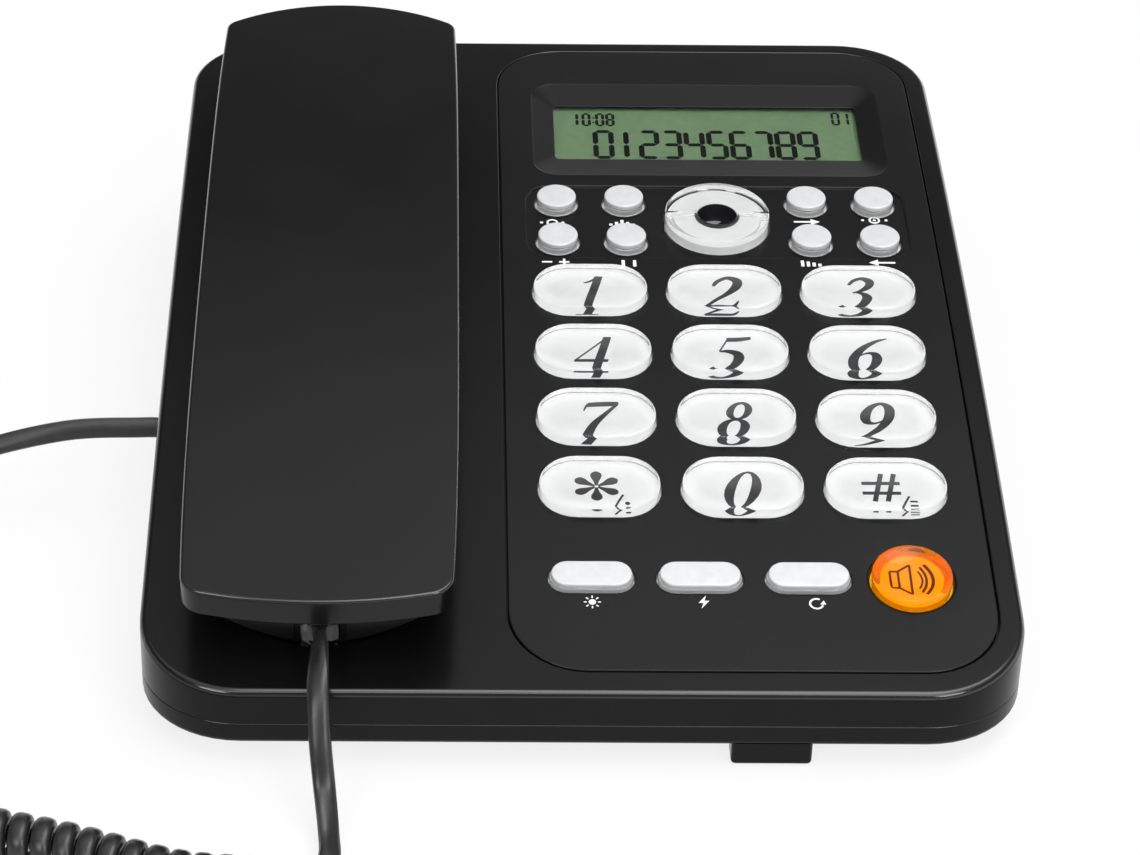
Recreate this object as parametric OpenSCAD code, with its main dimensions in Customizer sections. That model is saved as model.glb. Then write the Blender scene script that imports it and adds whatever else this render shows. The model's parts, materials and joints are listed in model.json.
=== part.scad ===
// Desk telephone with a caller display: crowned case, keypad, lift-off handset and curly cord.
// Millimetres, +Z up. The origin is on the desk under the middle of the case; the keys face -Y.

/* [Case] */
// Width of the case
body_w = 180; // [178:1:190]
// Depth of the case
body_d = 230; // [229:1:238]
// Corner radius of the case seen from above
corner_r = 21; // [18:1:24]
// Wall thickness of both shells
wall = 2.5; // [2.2:0.1:2.8]
// Space between the desk and the underside
foot_h = 6; // [5:0.5:8]
// Height of the lower shell at its rim
lower_h = 4.3; // [4:0.1:5]
// Height of the front edge above the underside
front_h = 12.1; // [11.5:0.1:14]
// Radius of the crowned top, front to back
crown_r = 1300; // [1200:50:1500]
// Slope of the top at its front edge, degrees
front_slope = 12.8; // [12:0.2:13.6]
// Width of the tab under the front edge
tab_w = 16.4; // [12:0.2:20]

/* [Fascia] */
// Width of the keypad fascia
fascia_w = 99.8; // [98:0.2:102]
// Length of the fascia along the crown
fascia_len = 220.5; // [219:0.5:222]
// Corner radius of the fascia
fascia_r = 16; // [12:1:20]
// Thickness of the fascia
fascia_t = 1.75; // [1.6:0.05:1.9]
// Groove between the fascia and the upper shell
groove = 0.35; // [0.2:0.05:0.6]
// Width of the slanted display recess at the surface
display_w = 83.4; // [81:0.2:85]
// Length of the slanted display recess at the surface
display_len = 40.5; // [38:0.5:42]
// Width of the display that shows
view_w = 73.4; // [70:0.2:75]
// Length of the display that shows
view_len = 24; // [22:0.2:25]
// Depth of the slanted walls round the display
display_dip = 1.6; // [1.2:0.1:1.8]

/* [Keys] */
// Width of a number key
key_w = 25.6; // [24:0.2:26.4]
// Length of a number key
key_len = 16.2; // [15:0.2:17]
// Column spacing of the number keys
key_pitch_x = 30.2; // [29.6:0.1:30.6]
// Row spacing of the number keys
key_pitch_s = 21.9; // [21.4:0.1:22.2]
// Height of the number keys above the fascia
key_rise = 2.2; // [1.5:0.1:3]
// Diameter of a small round key
round_d = 8.9; // [8:0.1:9.6]
// Outside diameter of the scroll ring
ring_d = 24.1; // [22:0.1:25]
// Hole of the scroll ring
ring_hole = 9.2; // [7:0.1:11]
// Width of a function key
func_w = 17.4; // [16:0.2:18.2]
// Length of a function key
func_len = 7.6; // [6.5:0.1:9]
// Diameter of the loudspeaker key
speaker_key_d = 16.6; // [15:0.2:17.4]
// How far every key travels
travel = 1.2; // [0.8:0.1:1.3]
// Free space round a key in the fascia
key_gap = 0.3; // [0.25:0.05:0.4]

/* [Handset] */
// Width of the handset
hs_w = 54; // [53:0.5:56]
// Length of the handset
hs_len = 210; // [206:1:212]
// Height of the handset above the crown
hs_rise = 18; // [17:0.5:20]
// Height of the outer handset shell
hs_back_h = 6; // [5.5:0.1:6.5]
// Height of the inner handset shell at the grip
hs_grip_h = 5; // [4.6:0.1:5.4]
// Radius of the bowed front end
hs_front_arc = 166; // [120:2:220]
// Radius of the bowed rear end
hs_rear_arc = 42.8; // [40:0.2:60]
// Corner radius of the handset
hs_corner = 5; // [4.6:0.1:6]
// Diameter of the ear and mouth cups
cup_d = 46; // [44:0.5:46.5]
// Distance between the two cups
cup_pitch = 155; // [152:0.5:156]
// Free space round a cup in its well
cup_gap = 0.8; // [0.5:0.1:1.2]
// Depth of the finger trough under the grip
trough = 5; // [4:0.5:6]

/* [Cord] */
// Diameter of the coiled cable
cable_d = 3.6; // [3:0.1:3.8]
// Radius of the curls at the cable's centre
curl_r = 4.3; // [4:0.1:4.6]
// Number of curls, one half curl less
curl_count = 42; // [38:1:44]

/* [Hidden] */
$fn = 48;
crown_fn = 1080;

// Thin gap between fixed pieces that touch in the real object
seat = 0.05;
// Length that passes right through any wall
through = 60;
part_z = foot_h + lower_h;
floor_t = 2.2;
floor_z = foot_h + floor_t;
front_z = foot_h + front_h;
crown_y = crown_r * sin(front_slope) - body_d / 2;
crown_z = front_z - crown_r * cos(front_slope);
top_t = 3;
ledge_w = 3;
ledge_drop = fascia_t + seat;

// The fascia lies against the right side; the handset takes the left
fascia_margin = 5.3;
fascia_x = body_w / 2 - fascia_margin - fascia_w / 2;
fascia_s = 116.75;
board_s = fascia_s;
hs_x = fascia_x - fascia_w / 2 - 37.8;
hs_s = 114.4;

// Rows of the keypad, measured along the crown from the front edge
func_s = 31.6;
key_s = 123.5;
menu_s = 151.2;
menu_pitch_s = 15.4;
display_s = 190.8;
menu_x = [-37, -21.3, 21.3, 37];
func_x = [-32.7, -10.4, 11.9];
speaker_key_x = 33.2;
band_dip = 0.6;
band_w = 88;
band_len = 28.4;
band_r = 6;

// Keys: a cap through the fascia, a flange under it and a stem down to the mat
flange_w = 1;
flange_top = -fascia_t - 0.25;
flange_t = 1.2;
rim = 0.5;
lap = 0.1;
stem_d = 5;
dome_top = -7.6;
dome_h = 0.6;
mat_t = 1;
board_top = dome_top - dome_h - mat_t - seat;
board_t = 1.6;
board_w = 94;
board_len = 144;
board_y = -24;
post_d = 5;
post_bore = 2.3;
posts = [[-15.2, 91.2], [15.2, 91.2], [-42.5, 44.6], [42.5, 44.6], [-42.5, 135], [42.5, 135]];

// Display stack under the fascia; the view lies a little behind the middle of its recess
view_shift = 0.6;
lens_t = 1;
lens_top = -2;
glass_t = 2.4;
block_bottom = -3.2;
block_w = display_w + 5;
block_len = display_len + 4;
tray_h = 5;
tray_wall = 2;

// Handset heights, measured from the crown
hs_wall = 2;
hs_split = hs_rise - hs_back_h;
hs_grip = hs_split - hs_grip_h;
hs_tuck = 1.2;
cup_foot = -10;
// Bowls round the cups: height over the crown, rim beyond the cup and widening per height
bowl_gap = 1;
bowl_rim = 1.3;
bowl_flare = 1.2;
well_floor = cup_foot - 0.3;
well_t = 2.4;
trough_w = 40;
plunger_y = 38;
plunger_d = 8;
plunger_flange_d = 12;
plunger_lift = 4;
hs_posts = [-30, 30];
jack_y = -hs_len / 2 + 1.5;
jack_z = 3.3;
lead_gap = 0.25;

// Modular plugs and jacks
plug_w = 7.6;
plug_h = 6.2;
plug_len = 14;
plug_out = 3;
base_plug_out = 0.4;
jack_gap = 0.15;
jack_wall = 1.2;
jack_len = 13;
base_jack_y = -24;
base_jack_z = 22.4;
line_jack_x = 40;
line_jack_z = 22;
line_hole_w = 9.8;
line_hole_h = 7;

// The line jack fills a window in the rear wall; a flange behind the wall holds it
line_face_w = line_hole_w + 3.6;
line_face_h = line_hole_h + 4.2;
line_face_gap = 0.3;
line_flange = 2;
line_flange_t = 1.6;

screw_places = [[-body_w / 2 + 12, -body_d / 2 + 11], [-body_w / 2 + 12, body_d / 2 - 11],
    [body_w / 2 - 5.5, -60], [body_w / 2 - 5.5, 80]];
feet_places = [[-70, -92], [70, -92], [-70, 92], [70, 92]];
foot_d = 14;

// Loudspeaker on the case floor, kept off the left wall and the hook switch.
// Its profile is in shares of its radius.
speaker_d = 50;
speaker_gap = 9.6;
speaker_in = 107;
speaker_x = -body_w / 2 + wall + speaker_gap + speaker_d / 2;
speaker_y = speaker_in - body_d / 2;
speaker_profile = [[0, 0.18], [0.36, 0.18], [0.88, 0.048], [0.88, 0],
    [1, 0], [1, 0.08], [0.6, 0.36], [0.6, 0.6], [0, 0.6]];
slot_w = 0.72 * speaker_d;
slot_step = 0.1 * speaker_d;
slot_len = 3;
slot_pitch = 0.14 * speaker_d;

// Hook switch under the plunger
switch_w = 14;
switch_len = 20;
switch_h = 9;
switch_top = -16.4;
bracket_w = 6;
bracket_len = 8;
bracket_lap = 2.3;

// Pieces inside the handset
receiver_r = 0.38 * cup_d;
receiver_profile = [[0, 0.06], [0.8, 0.06], [0.86, 0], [1, 0], [1, 0.23],
    [0.63, 0.29], [0.63, 0.51], [0, 0.51]];
mic_d = 14;
mic_h = 5;
mic_flange_d = 20;
mic_flange_t = 2;
weight_w = 24;
weight_len = 44;
weight_t = 3.15;
hs_screw_d = 2.6;
hs_screw_len = 6.5;
hs_screw_head_d = 5;
hs_screw_head_h = 1.6;

function slope_at(s) = front_slope - s / crown_r * 180 / PI;

// Puts a piece on the crown: x across, s along the crown, local z square to the surface
module on_crown(x, s) {
    translate([x, crown_y, crown_z]) rotate([slope_at(s), 0, 0]) translate([0, 0, crown_r]) children();
}

// Everything under the crown raised by this much
module under_crown(rise) {
    translate([0, crown_y, crown_z]) rotate([0, 90, 0])
        cylinder(h = 4 * body_w, r = crown_r + rise, center = true, $fn = crown_fn);
}

module rounded(w, d, r) {
    square([w - 2 * r, d], center = true);
    square([w, d - 2 * r], center = true);
    for (x = [-1, 1], y = [-1, 1]) translate([x * (w / 2 - r), y * (d / 2 - r)]) circle(r);
}

module capsule(w, d) {
    square([w - d, d], center = true);
    for (x = [-1, 1]) translate([x * (w - d) / 2, 0]) circle(d / 2);
}

module block(w, d, z0, z1) {
    translate([-w / 2, -d / 2, z0]) cube([w, d, z1 - z0]);
}

module plan(inset) {
    rounded(body_w - 2 * inset, body_d - 2 * inset, corner_r - inset);
}

module fascia_prism(grow) {
    on_crown(fascia_x, fascia_s) translate([0, 0, -20]) linear_extrude(30)
        rounded(fascia_w + 2 * grow, fascia_len + 2 * grow, fascia_r + grow);
}

module tub(extra) {
    on_crown(hs_x, hs_s) {
        for (y = [-1, 1]) translate([0, y * cup_pitch / 2, well_floor - extra])
            cylinder(h = through, d = cup_d + 2 * cup_gap + 2 * extra);
        block(trough_w + 2 * extra, cup_pitch, -trough - extra, through);
    }
}

// Screw bosses: those on the left hang from the top, those on the right stand on the side wall
module upper_boss(p) {
    translate([p[0], p[1], part_z + 0.3]) cylinder(h = p[0] < 0 ? through : 9, d = 8);
}

module upper_shell() color("#262628") {
    difference() {
        intersection() {
            translate([0, 0, part_z]) linear_extrude(through) plan(0);
            under_crown(0);
        }
        // Inside, kept clear of the wells and the screw bosses
        difference() {
            intersection() {
                translate([0, 0, part_z - 1]) linear_extrude(through) plan(wall);
                under_crown(-top_t);
            }
            tub(well_t);
            for (p = screw_places) upper_boss(p);
        }
        tub(0);
        for (p = screw_places) translate([p[0], p[1], part_z]) cylinder(h = 6.5, d = 3.1);
        // Seat and window of the fascia
        difference() {
            fascia_prism(groove);
            under_crown(-ledge_drop);
        }
        fascia_prism(-ledge_w);
        on_crown(hs_x, hs_s) translate([0, plunger_y, -through / 2])
            cylinder(h = through, d = plunger_d + 0.7);
        translate([-body_w / 2, base_jack_y, base_jack_z])
            cube([4 * wall, plug_w + 0.8, plug_h + 0.8], center = true);
        translate([line_jack_x, body_d / 2, line_jack_z])
            cube([line_face_w + 2 * line_face_gap, 4 * wall, line_face_h + 2 * line_face_gap],
                center = true);
    }
}

// Case floor with a bevelled lower edge, built from straight runs and turned corners
module bevelled_tray(bevel, h) {
    w = body_w / 2;
    d = body_d / 2;
    r = corner_r;
    translate([0, d - r, 0]) rotate([90, 0, 0]) linear_extrude(2 * (d - r))
        polygon([[bevel - w, 0], [w - bevel, 0], [w, bevel], [w, h], [-w, h], [-w, bevel]]);
    translate([r - w, 0, 0]) rotate([90, 0, 90]) linear_extrude(2 * (w - r))
        polygon([[bevel - d, 0], [d - bevel, 0], [d, bevel], [d, h], [-d, h], [-d, bevel]]);
    for (x = [-1, 1], y = [-1, 1]) translate([x * (w - r), y * (d - r), 0])
        rotate_extrude() polygon([[0, 0], [r - bevel, 0], [r, bevel], [r, h], [0, h]]);
}

module lower_shell() color("#2a2a2c") {
    tab_r = 1.2;
    difference() {
        union() {
            difference() {
                translate([0, 0, foot_h]) bevelled_tray(1.2, lower_h);
                translate([0, 0, floor_z]) linear_extrude(through) plan(wall);
            }
            // Locating lip inside the upper shell
            difference() {
                translate([0, 0, floor_z - 1]) linear_extrude(part_z + 2.6 - floor_z + 1) plan(wall + 0.15);
                translate([0, 0, floor_z - 2]) linear_extrude(through) plan(wall + 1.6);
                for (p = screw_places) translate([p[0], p[1], part_z]) cylinder(h = through, d = 8.8);
            }
            for (p = screw_places) translate([p[0], p[1], foot_h + 0.5])
                cylinder(h = part_z - foot_h - 0.4, d = 10);
            // Tab that shows under the front edge
            translate([38, 6.4 - body_d / 2, 0.4]) rotate([90, 0, 0]) linear_extrude(6.2) {
                translate([0, (foot_h + tab_r) / 2 + 0.6])
                    square([tab_w, foot_h + 1.2 - tab_r], center = true);
                translate([0, tab_r]) square([tab_w - 2 * tab_r, 2 * tab_r], center = true);
                for (x = [-1, 1]) translate([x * (tab_w / 2 - tab_r), tab_r]) circle(tab_r);
            }
            // Rim that holds the loudspeaker
            translate([speaker_x, speaker_y, floor_z - 0.5]) difference() {
                cylinder(h = 4, d = speaker_d + 4);
                translate([0, 0, -1]) cylinder(h = 6, d = speaker_d + 0.4);
            }
        }
        for (p = screw_places) {
            translate([p[0], p[1], 0]) cylinder(h = part_z + 4, d = 3.4);
            translate([p[0], p[1], 0]) cylinder(h = foot_h + 2.4, d = 7);
        }
        for (p = feet_places) translate([p[0], p[1], 0]) cylinder(h = foot_h + 1, d = foot_d + 0.3);
        // Sound slots under the loudspeaker
        for (i = [-2:2]) translate([speaker_x, speaker_y + slot_pitch * i, 0])
            linear_extrude(through / 2) capsule(slot_w - slot_step * abs(i), slot_len);
    }
}

module display_cut() {
    // Two crossed trapezoid prisms share the slanted recess
    a = display_w / 2;
    b = display_len / 2;
    va = view_w / 2;
    vb = view_len / 2;
    up = 1;
    ka = (a - va) / display_dip;
    k_front = (b - vb + view_shift) / display_dip;
    k_rear = (b - vb - view_shift) / display_dip;
    intersection() {
        translate([0, through, 0]) rotate([90, 0, 0]) linear_extrude(2 * through)
            polygon([[-va, -display_dip], [va, -display_dip], [a + up * ka, up], [-a - up * ka, up]]);
        translate([-through, 0, 0]) rotate([90, 0, 90]) linear_extrude(2 * through)
            polygon([[view_shift - vb, -display_dip], [view_shift + vb, -display_dip],
                [b + up * k_rear, up], [-b - up * k_front, up]]);
    }
    translate([0, view_shift, 0]) {
        block(view_w, view_len, lens_top - 1, -display_dip + 0.2);
        block(view_w + 4, view_len + 4, block_bottom - 1, lens_top + seat);
    }
}

module at_view() {
    on_crown(fascia_x, display_s) translate([0, view_shift, 0]) children();
}

module fascia() color("#1d1d1f") {
    difference() {
        union() {
            difference() {
                intersection() {
                    fascia_prism(0);
                    under_crown(0);
                }
                under_crown(-fascia_t);
            }
            on_crown(fascia_x, display_s) block(block_w, block_len, block_bottom, -1.2);
            on_crown(fascia_x, board_s) for (p = posts) post(p, post_d, -1, board_top + seat);
        }
        on_crown(fascia_x, display_s) display_cut();
        // Shallow band round the menu keys
        on_crown(fascia_x, menu_s) translate([0, 0, -band_dip])
            linear_extrude(4) rounded(band_w, band_len, band_r);
        on_crown(fascia_x, board_s) for (p = posts) post(p, post_bore, -3, board_top - 1);
        for (r = [0:3], c = [-1:1]) on_crown(fascia_x + c * key_pitch_x, key_s - r * key_pitch_s)
            hole() capsule(key_w + 2 * key_gap, key_len + 2 * key_gap);
        for (r = [-0.5, 0.5], x = menu_x) on_crown(fascia_x + x, menu_s + r * menu_pitch_s)
            hole() circle((round_d + 0.7) / 2 + key_gap);
        on_crown(fascia_x, menu_s) hole() circle(ring_d / 2 + key_gap);
        for (x = func_x) on_crown(fascia_x + x, func_s)
            hole() capsule(func_w + 2 * key_gap, func_len + 2 * key_gap);
        on_crown(fascia_x + speaker_key_x, func_s) hole() circle(speaker_key_d / 2 + key_gap);
    }
}

module hole() {
    translate([0, 0, -6]) linear_extrude(12) children();
}

// A round post between two heights of the board frame, starting under the crown
module post(p, d, z1, z0) {
    y = p[1] - board_s;
    top = z1 - y * y / (2 * crown_r);
    translate([p[0], y, z0]) cylinder(h = top - z0, d = d);
}

module lcd_lens() color("#9fb39a") {
    at_view() block(view_w + 3.6, view_len + 3.6, lens_top - lens_t, lens_top);
}

module lcd_glass() color("#6b8764") {
    at_view() block(view_w + 6.6, view_len + 7.2, block_bottom - seat - glass_t, block_bottom - seat);
}

module lcd_tray() color("#dcdcd6") {
    at_view() difference() {
        block(view_w + 7 + 2 * tray_wall, view_len + 7.6 + 2 * tray_wall,
            block_bottom - seat - tray_h, block_bottom - seat);
        block(view_w + 7, view_len + 7.6, block_bottom - 2 * seat - glass_t, block_bottom + 1);
        // Light pocket behind the glass
        block(view_w - 4, view_len - 2, block_bottom - tray_h + 1, block_bottom + 1);
    }
}

module main_board() color("#2f6b45") {
    on_crown(fascia_x, board_s) difference() {
        translate([0, board_y, board_top - board_t]) linear_extrude(board_t) rounded(board_w, board_len, 3);
        for (p = posts) translate([p[0], p[1] - board_s, board_top - 5])
            cylinder(h = 10, d = post_bore + 0.2);
    }
}

module dome(x, s, d) {
    translate([x, s - board_s, dome_top - dome_h]) cylinder(h = dome_h, d = d);
}

module key_mat() color("#c9c9c4") {
    on_crown(fascia_x, board_s) difference() {
        union() {
            translate([0, board_y, dome_top - dome_h - mat_t]) linear_extrude(mat_t + 0.01)
                rounded(board_w - 3, board_len - 3, 3);
            for (r = [0:3], c = [-1:1]) dome(c * key_pitch_x, key_s - r * key_pitch_s, 8);
            for (r = [-0.5, 0.5], x = menu_x) dome(x, menu_s + r * menu_pitch_s, 6);
            for (r = [-1, 1]) dome(0, menu_s + r * (ring_d + ring_hole) / 4, 6);
            for (x = func_x) dome(x, func_s, 6);
            dome(speaker_key_x, func_s, 8);
        }
        for (p = posts) translate([p[0], p[1] - board_s, dome_top - 6]) cylinder(h = 10, d = post_d + 0.6);
    }
}

module loudspeaker() color("#3a3a3c") {
    // Four windows in the basket between the frame and the magnet
    window = speaker_d * [0.08, 0.16, 0.06];
    translate([speaker_x, speaker_y, floor_z + seat]) difference() {
        rotate_extrude() polygon(speaker_d / 2 * speaker_profile);
        for (a = [0:3]) rotate([0, 0, 90 * a + 45]) translate(speaker_d * [0.34, 0, 0.13])
            cube(window, center = true);
    }
}

module hook_switch() color("#3b3f46") {
    under = from_handset(plunger_y, switch_top - switch_h);
    on_crown(hs_x, hs_s) translate([0, plunger_y, 0]) {
        block(switch_w, switch_len, switch_top - switch_h, switch_top);
        translate([0, 0, switch_top - 1]) cylinder(h = 1.6, d = 4);
    }
    // Bracket down to the floor
    translate([hs_x, under[1], floor_z + seat]) {
        block(bracket_w, bracket_len, 0, under[2] - floor_z + bracket_lap);
        block(switch_w, switch_len, 0, 2);
    }
}

module hook_plunger() color("#1b1b1d") {
    grip_y = hs_grip - plunger_y * plunger_y / (2 * crown_r);
    on_crown(hs_x, hs_s) translate([0, plunger_y, 0]) {
        translate([0, 0, -15]) cylinder(h = 15 + grip_y - 1.3, d = plunger_d);
        translate([0, 0, grip_y - 1.4]) cylinder(h = 1.1, d = plunger_d - 1.6);
        translate([0, 0, -trough - well_t - 0.4 - plunger_lift - 1.2])
            cylinder(h = 1.2, d = plunger_flange_d);
    }
}

// Socket open to -Y, its mouth at y = 0, and the plug that sits in it
module socket() {
    w = plug_w + 2 * jack_gap;
    h = plug_h + 2 * jack_gap;
    difference() {
        translate([0, jack_len / 2, 0]) cube([w + 2 * jack_wall, jack_len, h + 2 * jack_wall], center = true);
        translate([0, jack_len / 2 - jack_wall - 1, 0]) cube([w, jack_len + 2, h], center = true);
    }
}

module plug(out) {
    inside = plug_len - plug_out;
    difference() {
        translate([0, (inside - out) / 2, 0]) cube([plug_w, inside + out, plug_h], center = true);
        // Contact slots and the gap under the latch
        for (i = [-1.5:1.5]) translate([1.02 * i, inside - 2, plug_h / 2])
            cube([0.5, 5, 2], center = true);
        translate([0, 0.5, -plug_h / 2 + 0.9]) cube([3.6, plug_len - 5, 0.6], center = true);
    }
}

module base_jack_frame() {
    translate([-body_w / 2 + wall + seat, base_jack_y, base_jack_z]) rotate([0, 0, -90]) children();
}

module base_jack() color("#2c2c2e") base_jack_frame() socket();

module base_plug() color("#d5dade") base_jack_frame() translate([0, -wall, 0]) plug(base_plug_out);

module line_jack() color("#2c2c2e") {
    len = 15;
    end_t = 1.4;
    out = wall + seat - line_face_gap;
    depth = len - end_t + out + 1;
    translate([line_jack_x, body_d / 2 - wall - seat, line_jack_z]) difference() {
        union() {
            translate([0, (out - len) / 2, 0]) cube([line_face_w, len + out, line_face_h], center = true);
            translate([0, -line_flange_t / 2, 0])
                cube([line_face_w + 2 * line_flange, line_flange_t, line_face_h + 2 * line_flange],
                    center = true);
        }
        translate([0, out + 1 - depth / 2, 0]) cube([line_hole_w, depth, line_hole_h], center = true);
    }
}

module rubber_feet() color("#151516") {
    for (p = feet_places) translate([p[0], p[1], 0]) cylinder(h = foot_h + 1 - seat, d = foot_d);
}

module case_screws() color("#9a9a9c") {
    for (p = screw_places) translate([p[0], p[1], foot_h + 2.4 - seat]) {
        difference() {
            translate([0, 0, -2]) cylinder(h = 2, d = 6.2);
            for (a = [0, 90]) rotate([0, 0, a]) translate([0, 0, -2]) cube([3.6, 0.8, 2], center = true);
        }
        translate([0, 0, -0.5]) cylinder(h = 8, d = 3);
    }
}

module board_screws() color("#9a9a9c") {
    under = board_top - board_t - seat;
    on_crown(fascia_x, board_s) for (p = posts) translate([p[0], p[1] - board_s, under]) {
        translate([0, 0, -1.6]) cylinder(h = 1.6, d = 4.4);
        translate([0, 0, -0.5]) cylinder(h = 5, d = post_bore - 0.1);
    }
}

// Stem from the flange down to the mat, longer where the crown stands higher above the board
module stem(s, d) {
    y = s - board_s;
    len = flange_top - flange_t - y * y / (2 * crown_r) - dome_top - travel - 0.4;
    translate([0, 0, flange_top - flange_t - len]) cylinder(h = len + 0.4, d = d);
}

// A key with its flange; the children are its outline, drawn twice: cap, then flange
module key_solid(rise) {
    translate([0, 0, flange_top - lap]) linear_extrude(rise - rim - flange_top + lap) children(0);
    translate([0, 0, rise - rim - lap]) linear_extrude(rim + lap) children(1);
    translate([0, 0, flange_top - flange_t]) linear_extrude(flange_t) children(2);
}

module number_key(c, r) color("#e9ecee") {
    s = key_s - r * key_pitch_s;
    dish_r = 46;
    dish = 0.5;
    on_crown(fascia_x + c * key_pitch_x, s) {
        difference() {
            key_solid(key_rise) {
                capsule(key_w, key_len);
                capsule(key_w - 2 * rim, key_len - 2 * rim);
                capsule(key_w + 2 * flange_w, key_len + 2 * flange_w);
            }
            translate([0, 0, key_rise + dish_r - dish]) rotate([0, 90, 0])
                cylinder(h = key_w - key_len, r = dish_r, center = true, $fn = 240);
        }
        stem(s, stem_d);
    }
}

module menu_key(x, r) color("#dfe3e6") {
    s = menu_s + r * menu_pitch_s;
    foot_d = round_d + 0.7;
    waist_d = round_d - 0.6;
    foot_top = 0.4;
    cap_low = 0.9;
    cap_high = 1.7;
    menu_rise = 2;
    menu_stem_d = 3.6;
    on_crown(fascia_x + x, s) {
        translate([0, 0, flange_top - lap]) cylinder(h = foot_top - flange_top + lap, d = foot_d);
        translate([0, 0, foot_top - lap]) cylinder(h = cap_high - foot_top, d = waist_d);
        translate([0, 0, cap_low]) cylinder(h = cap_high - cap_low, d = round_d);
        translate([0, 0, cap_high - lap]) cylinder(h = menu_rise - cap_high + lap, d = round_d - 2 * rim);
        translate([0, 0, flange_top - flange_t]) cylinder(h = flange_t, d = foot_d + 2 * flange_w);
        stem(s, menu_stem_d);
    }
}

// Half of the scroll ring, up (1) or down (-1)
module ring_key(side) color("#dfe3e6") {
    split = 0.5;
    ring_rise = 2.6;
    shoulder = 2.2;
    ring_stem_d = 4;
    on_crown(fascia_x, menu_s) {
        intersection() {
            difference() {
                union() {
                    translate([0, 0, flange_top - lap]) cylinder(h = shoulder - flange_top + lap, d = ring_d);
                    translate([0, 0, shoulder - lap])
                        cylinder(h = ring_rise - shoulder + lap, d = ring_d - 2 * rim);
                    translate([0, 0, flange_top - flange_t])
                        cylinder(h = flange_t, d = ring_d + 2 * flange_w);
                }
                translate([0, 0, -through / 2]) cylinder(h = through, d = ring_hole);
            }
            translate([-through / 2, side > 0 ? split / 2 : -through - split / 2, -through / 2])
                cube([through, through, through]);
        }
        translate([0, side * (ring_d + ring_hole) / 4, 0]) stem(menu_s, ring_stem_d);
    }
}

module func_key(i) color("#e4e7e9") {
    on_crown(fascia_x + func_x[i], func_s) {
        key_solid(1.7) {
            capsule(func_w, func_len);
            capsule(func_w - 2 * rim, func_len - 2 * rim);
            capsule(func_w + 2 * flange_w, func_len + 2 * flange_w);
        }
        stem(func_s, 4);
    }
}

module speaker_key() color("#f08a1c") {
    on_crown(fascia_x + speaker_key_x, func_s) {
        key_solid(2) {
            circle(speaker_key_d / 2);
            circle(speaker_key_d / 2 - rim);
            circle(speaker_key_d / 2 + flange_w);
        }
        stem(func_s, stem_d);
    }
}

// Handset outline: a rounded bar cut by a slow arc in front and a quick arc behind
module handset_plan(grow) {
    rear_y = hs_len / 2 - hs_rear_arc;
    intersection() {
        rounded(hs_w + 2 * grow, hs_len + 2 * grow, hs_corner + grow);
        translate([0, hs_front_arc - hs_len / 2]) circle(hs_front_arc + grow, $fn = 360);
        union() {
            translate([0, rear_y]) circle(hs_rear_arc + grow, $fn = 180);
            translate([-hs_w, rear_y - hs_len]) square([2 * hs_w, hs_len]);
        }
    }
}

module handset_prism(grow) {
    on_crown(hs_x, hs_s) translate([0, 0, -through / 2]) linear_extrude(through) handset_plan(grow);
}

// Slice of the handset outline between two heights above the crown
module handset_slice(grow, low, high) {
    difference() {
        intersection() {
            handset_prism(grow);
            under_crown(high);
        }
        under_crown(low);
    }
}

module handset_back() color("#29292b") {
    difference() {
        handset_slice(0, hs_split, hs_rise);
        difference() {
            handset_slice(-hs_wall, hs_split - 1, hs_rise - hs_wall);
            on_crown(hs_x, hs_s) for (y = hs_posts) translate([0, y, 0]) cylinder(h = through, d = 7);
        }
        on_crown(hs_x, hs_s) for (y = hs_posts) translate([0, y, 0]) cylinder(h = hs_split + 3.6, d = 2.7);
    }
}

// Bowl that widens from the mouth of a cup to that end of the handset
module handset_bowl(end, inset, lift, high) {
    rim = cup_d / 2 + bowl_rim;
    h = 2 * hs_split;
    intersection() {
        handset_slice(-hs_tuck - inset, 0, high);
        on_crown(hs_x, hs_s + end * cup_pitch / 2) translate([0, 0, bowl_gap + lift])
            cylinder(h = h, r1 = rim, r2 = rim + h * bowl_flare);
    }
}

// Housing of the cord socket between the mouth cup and the front end
module jack_housing() {
    translate([0, jack_y + 9, 2.7]) block(15, 16, -5.2, 4.4);
}

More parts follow.
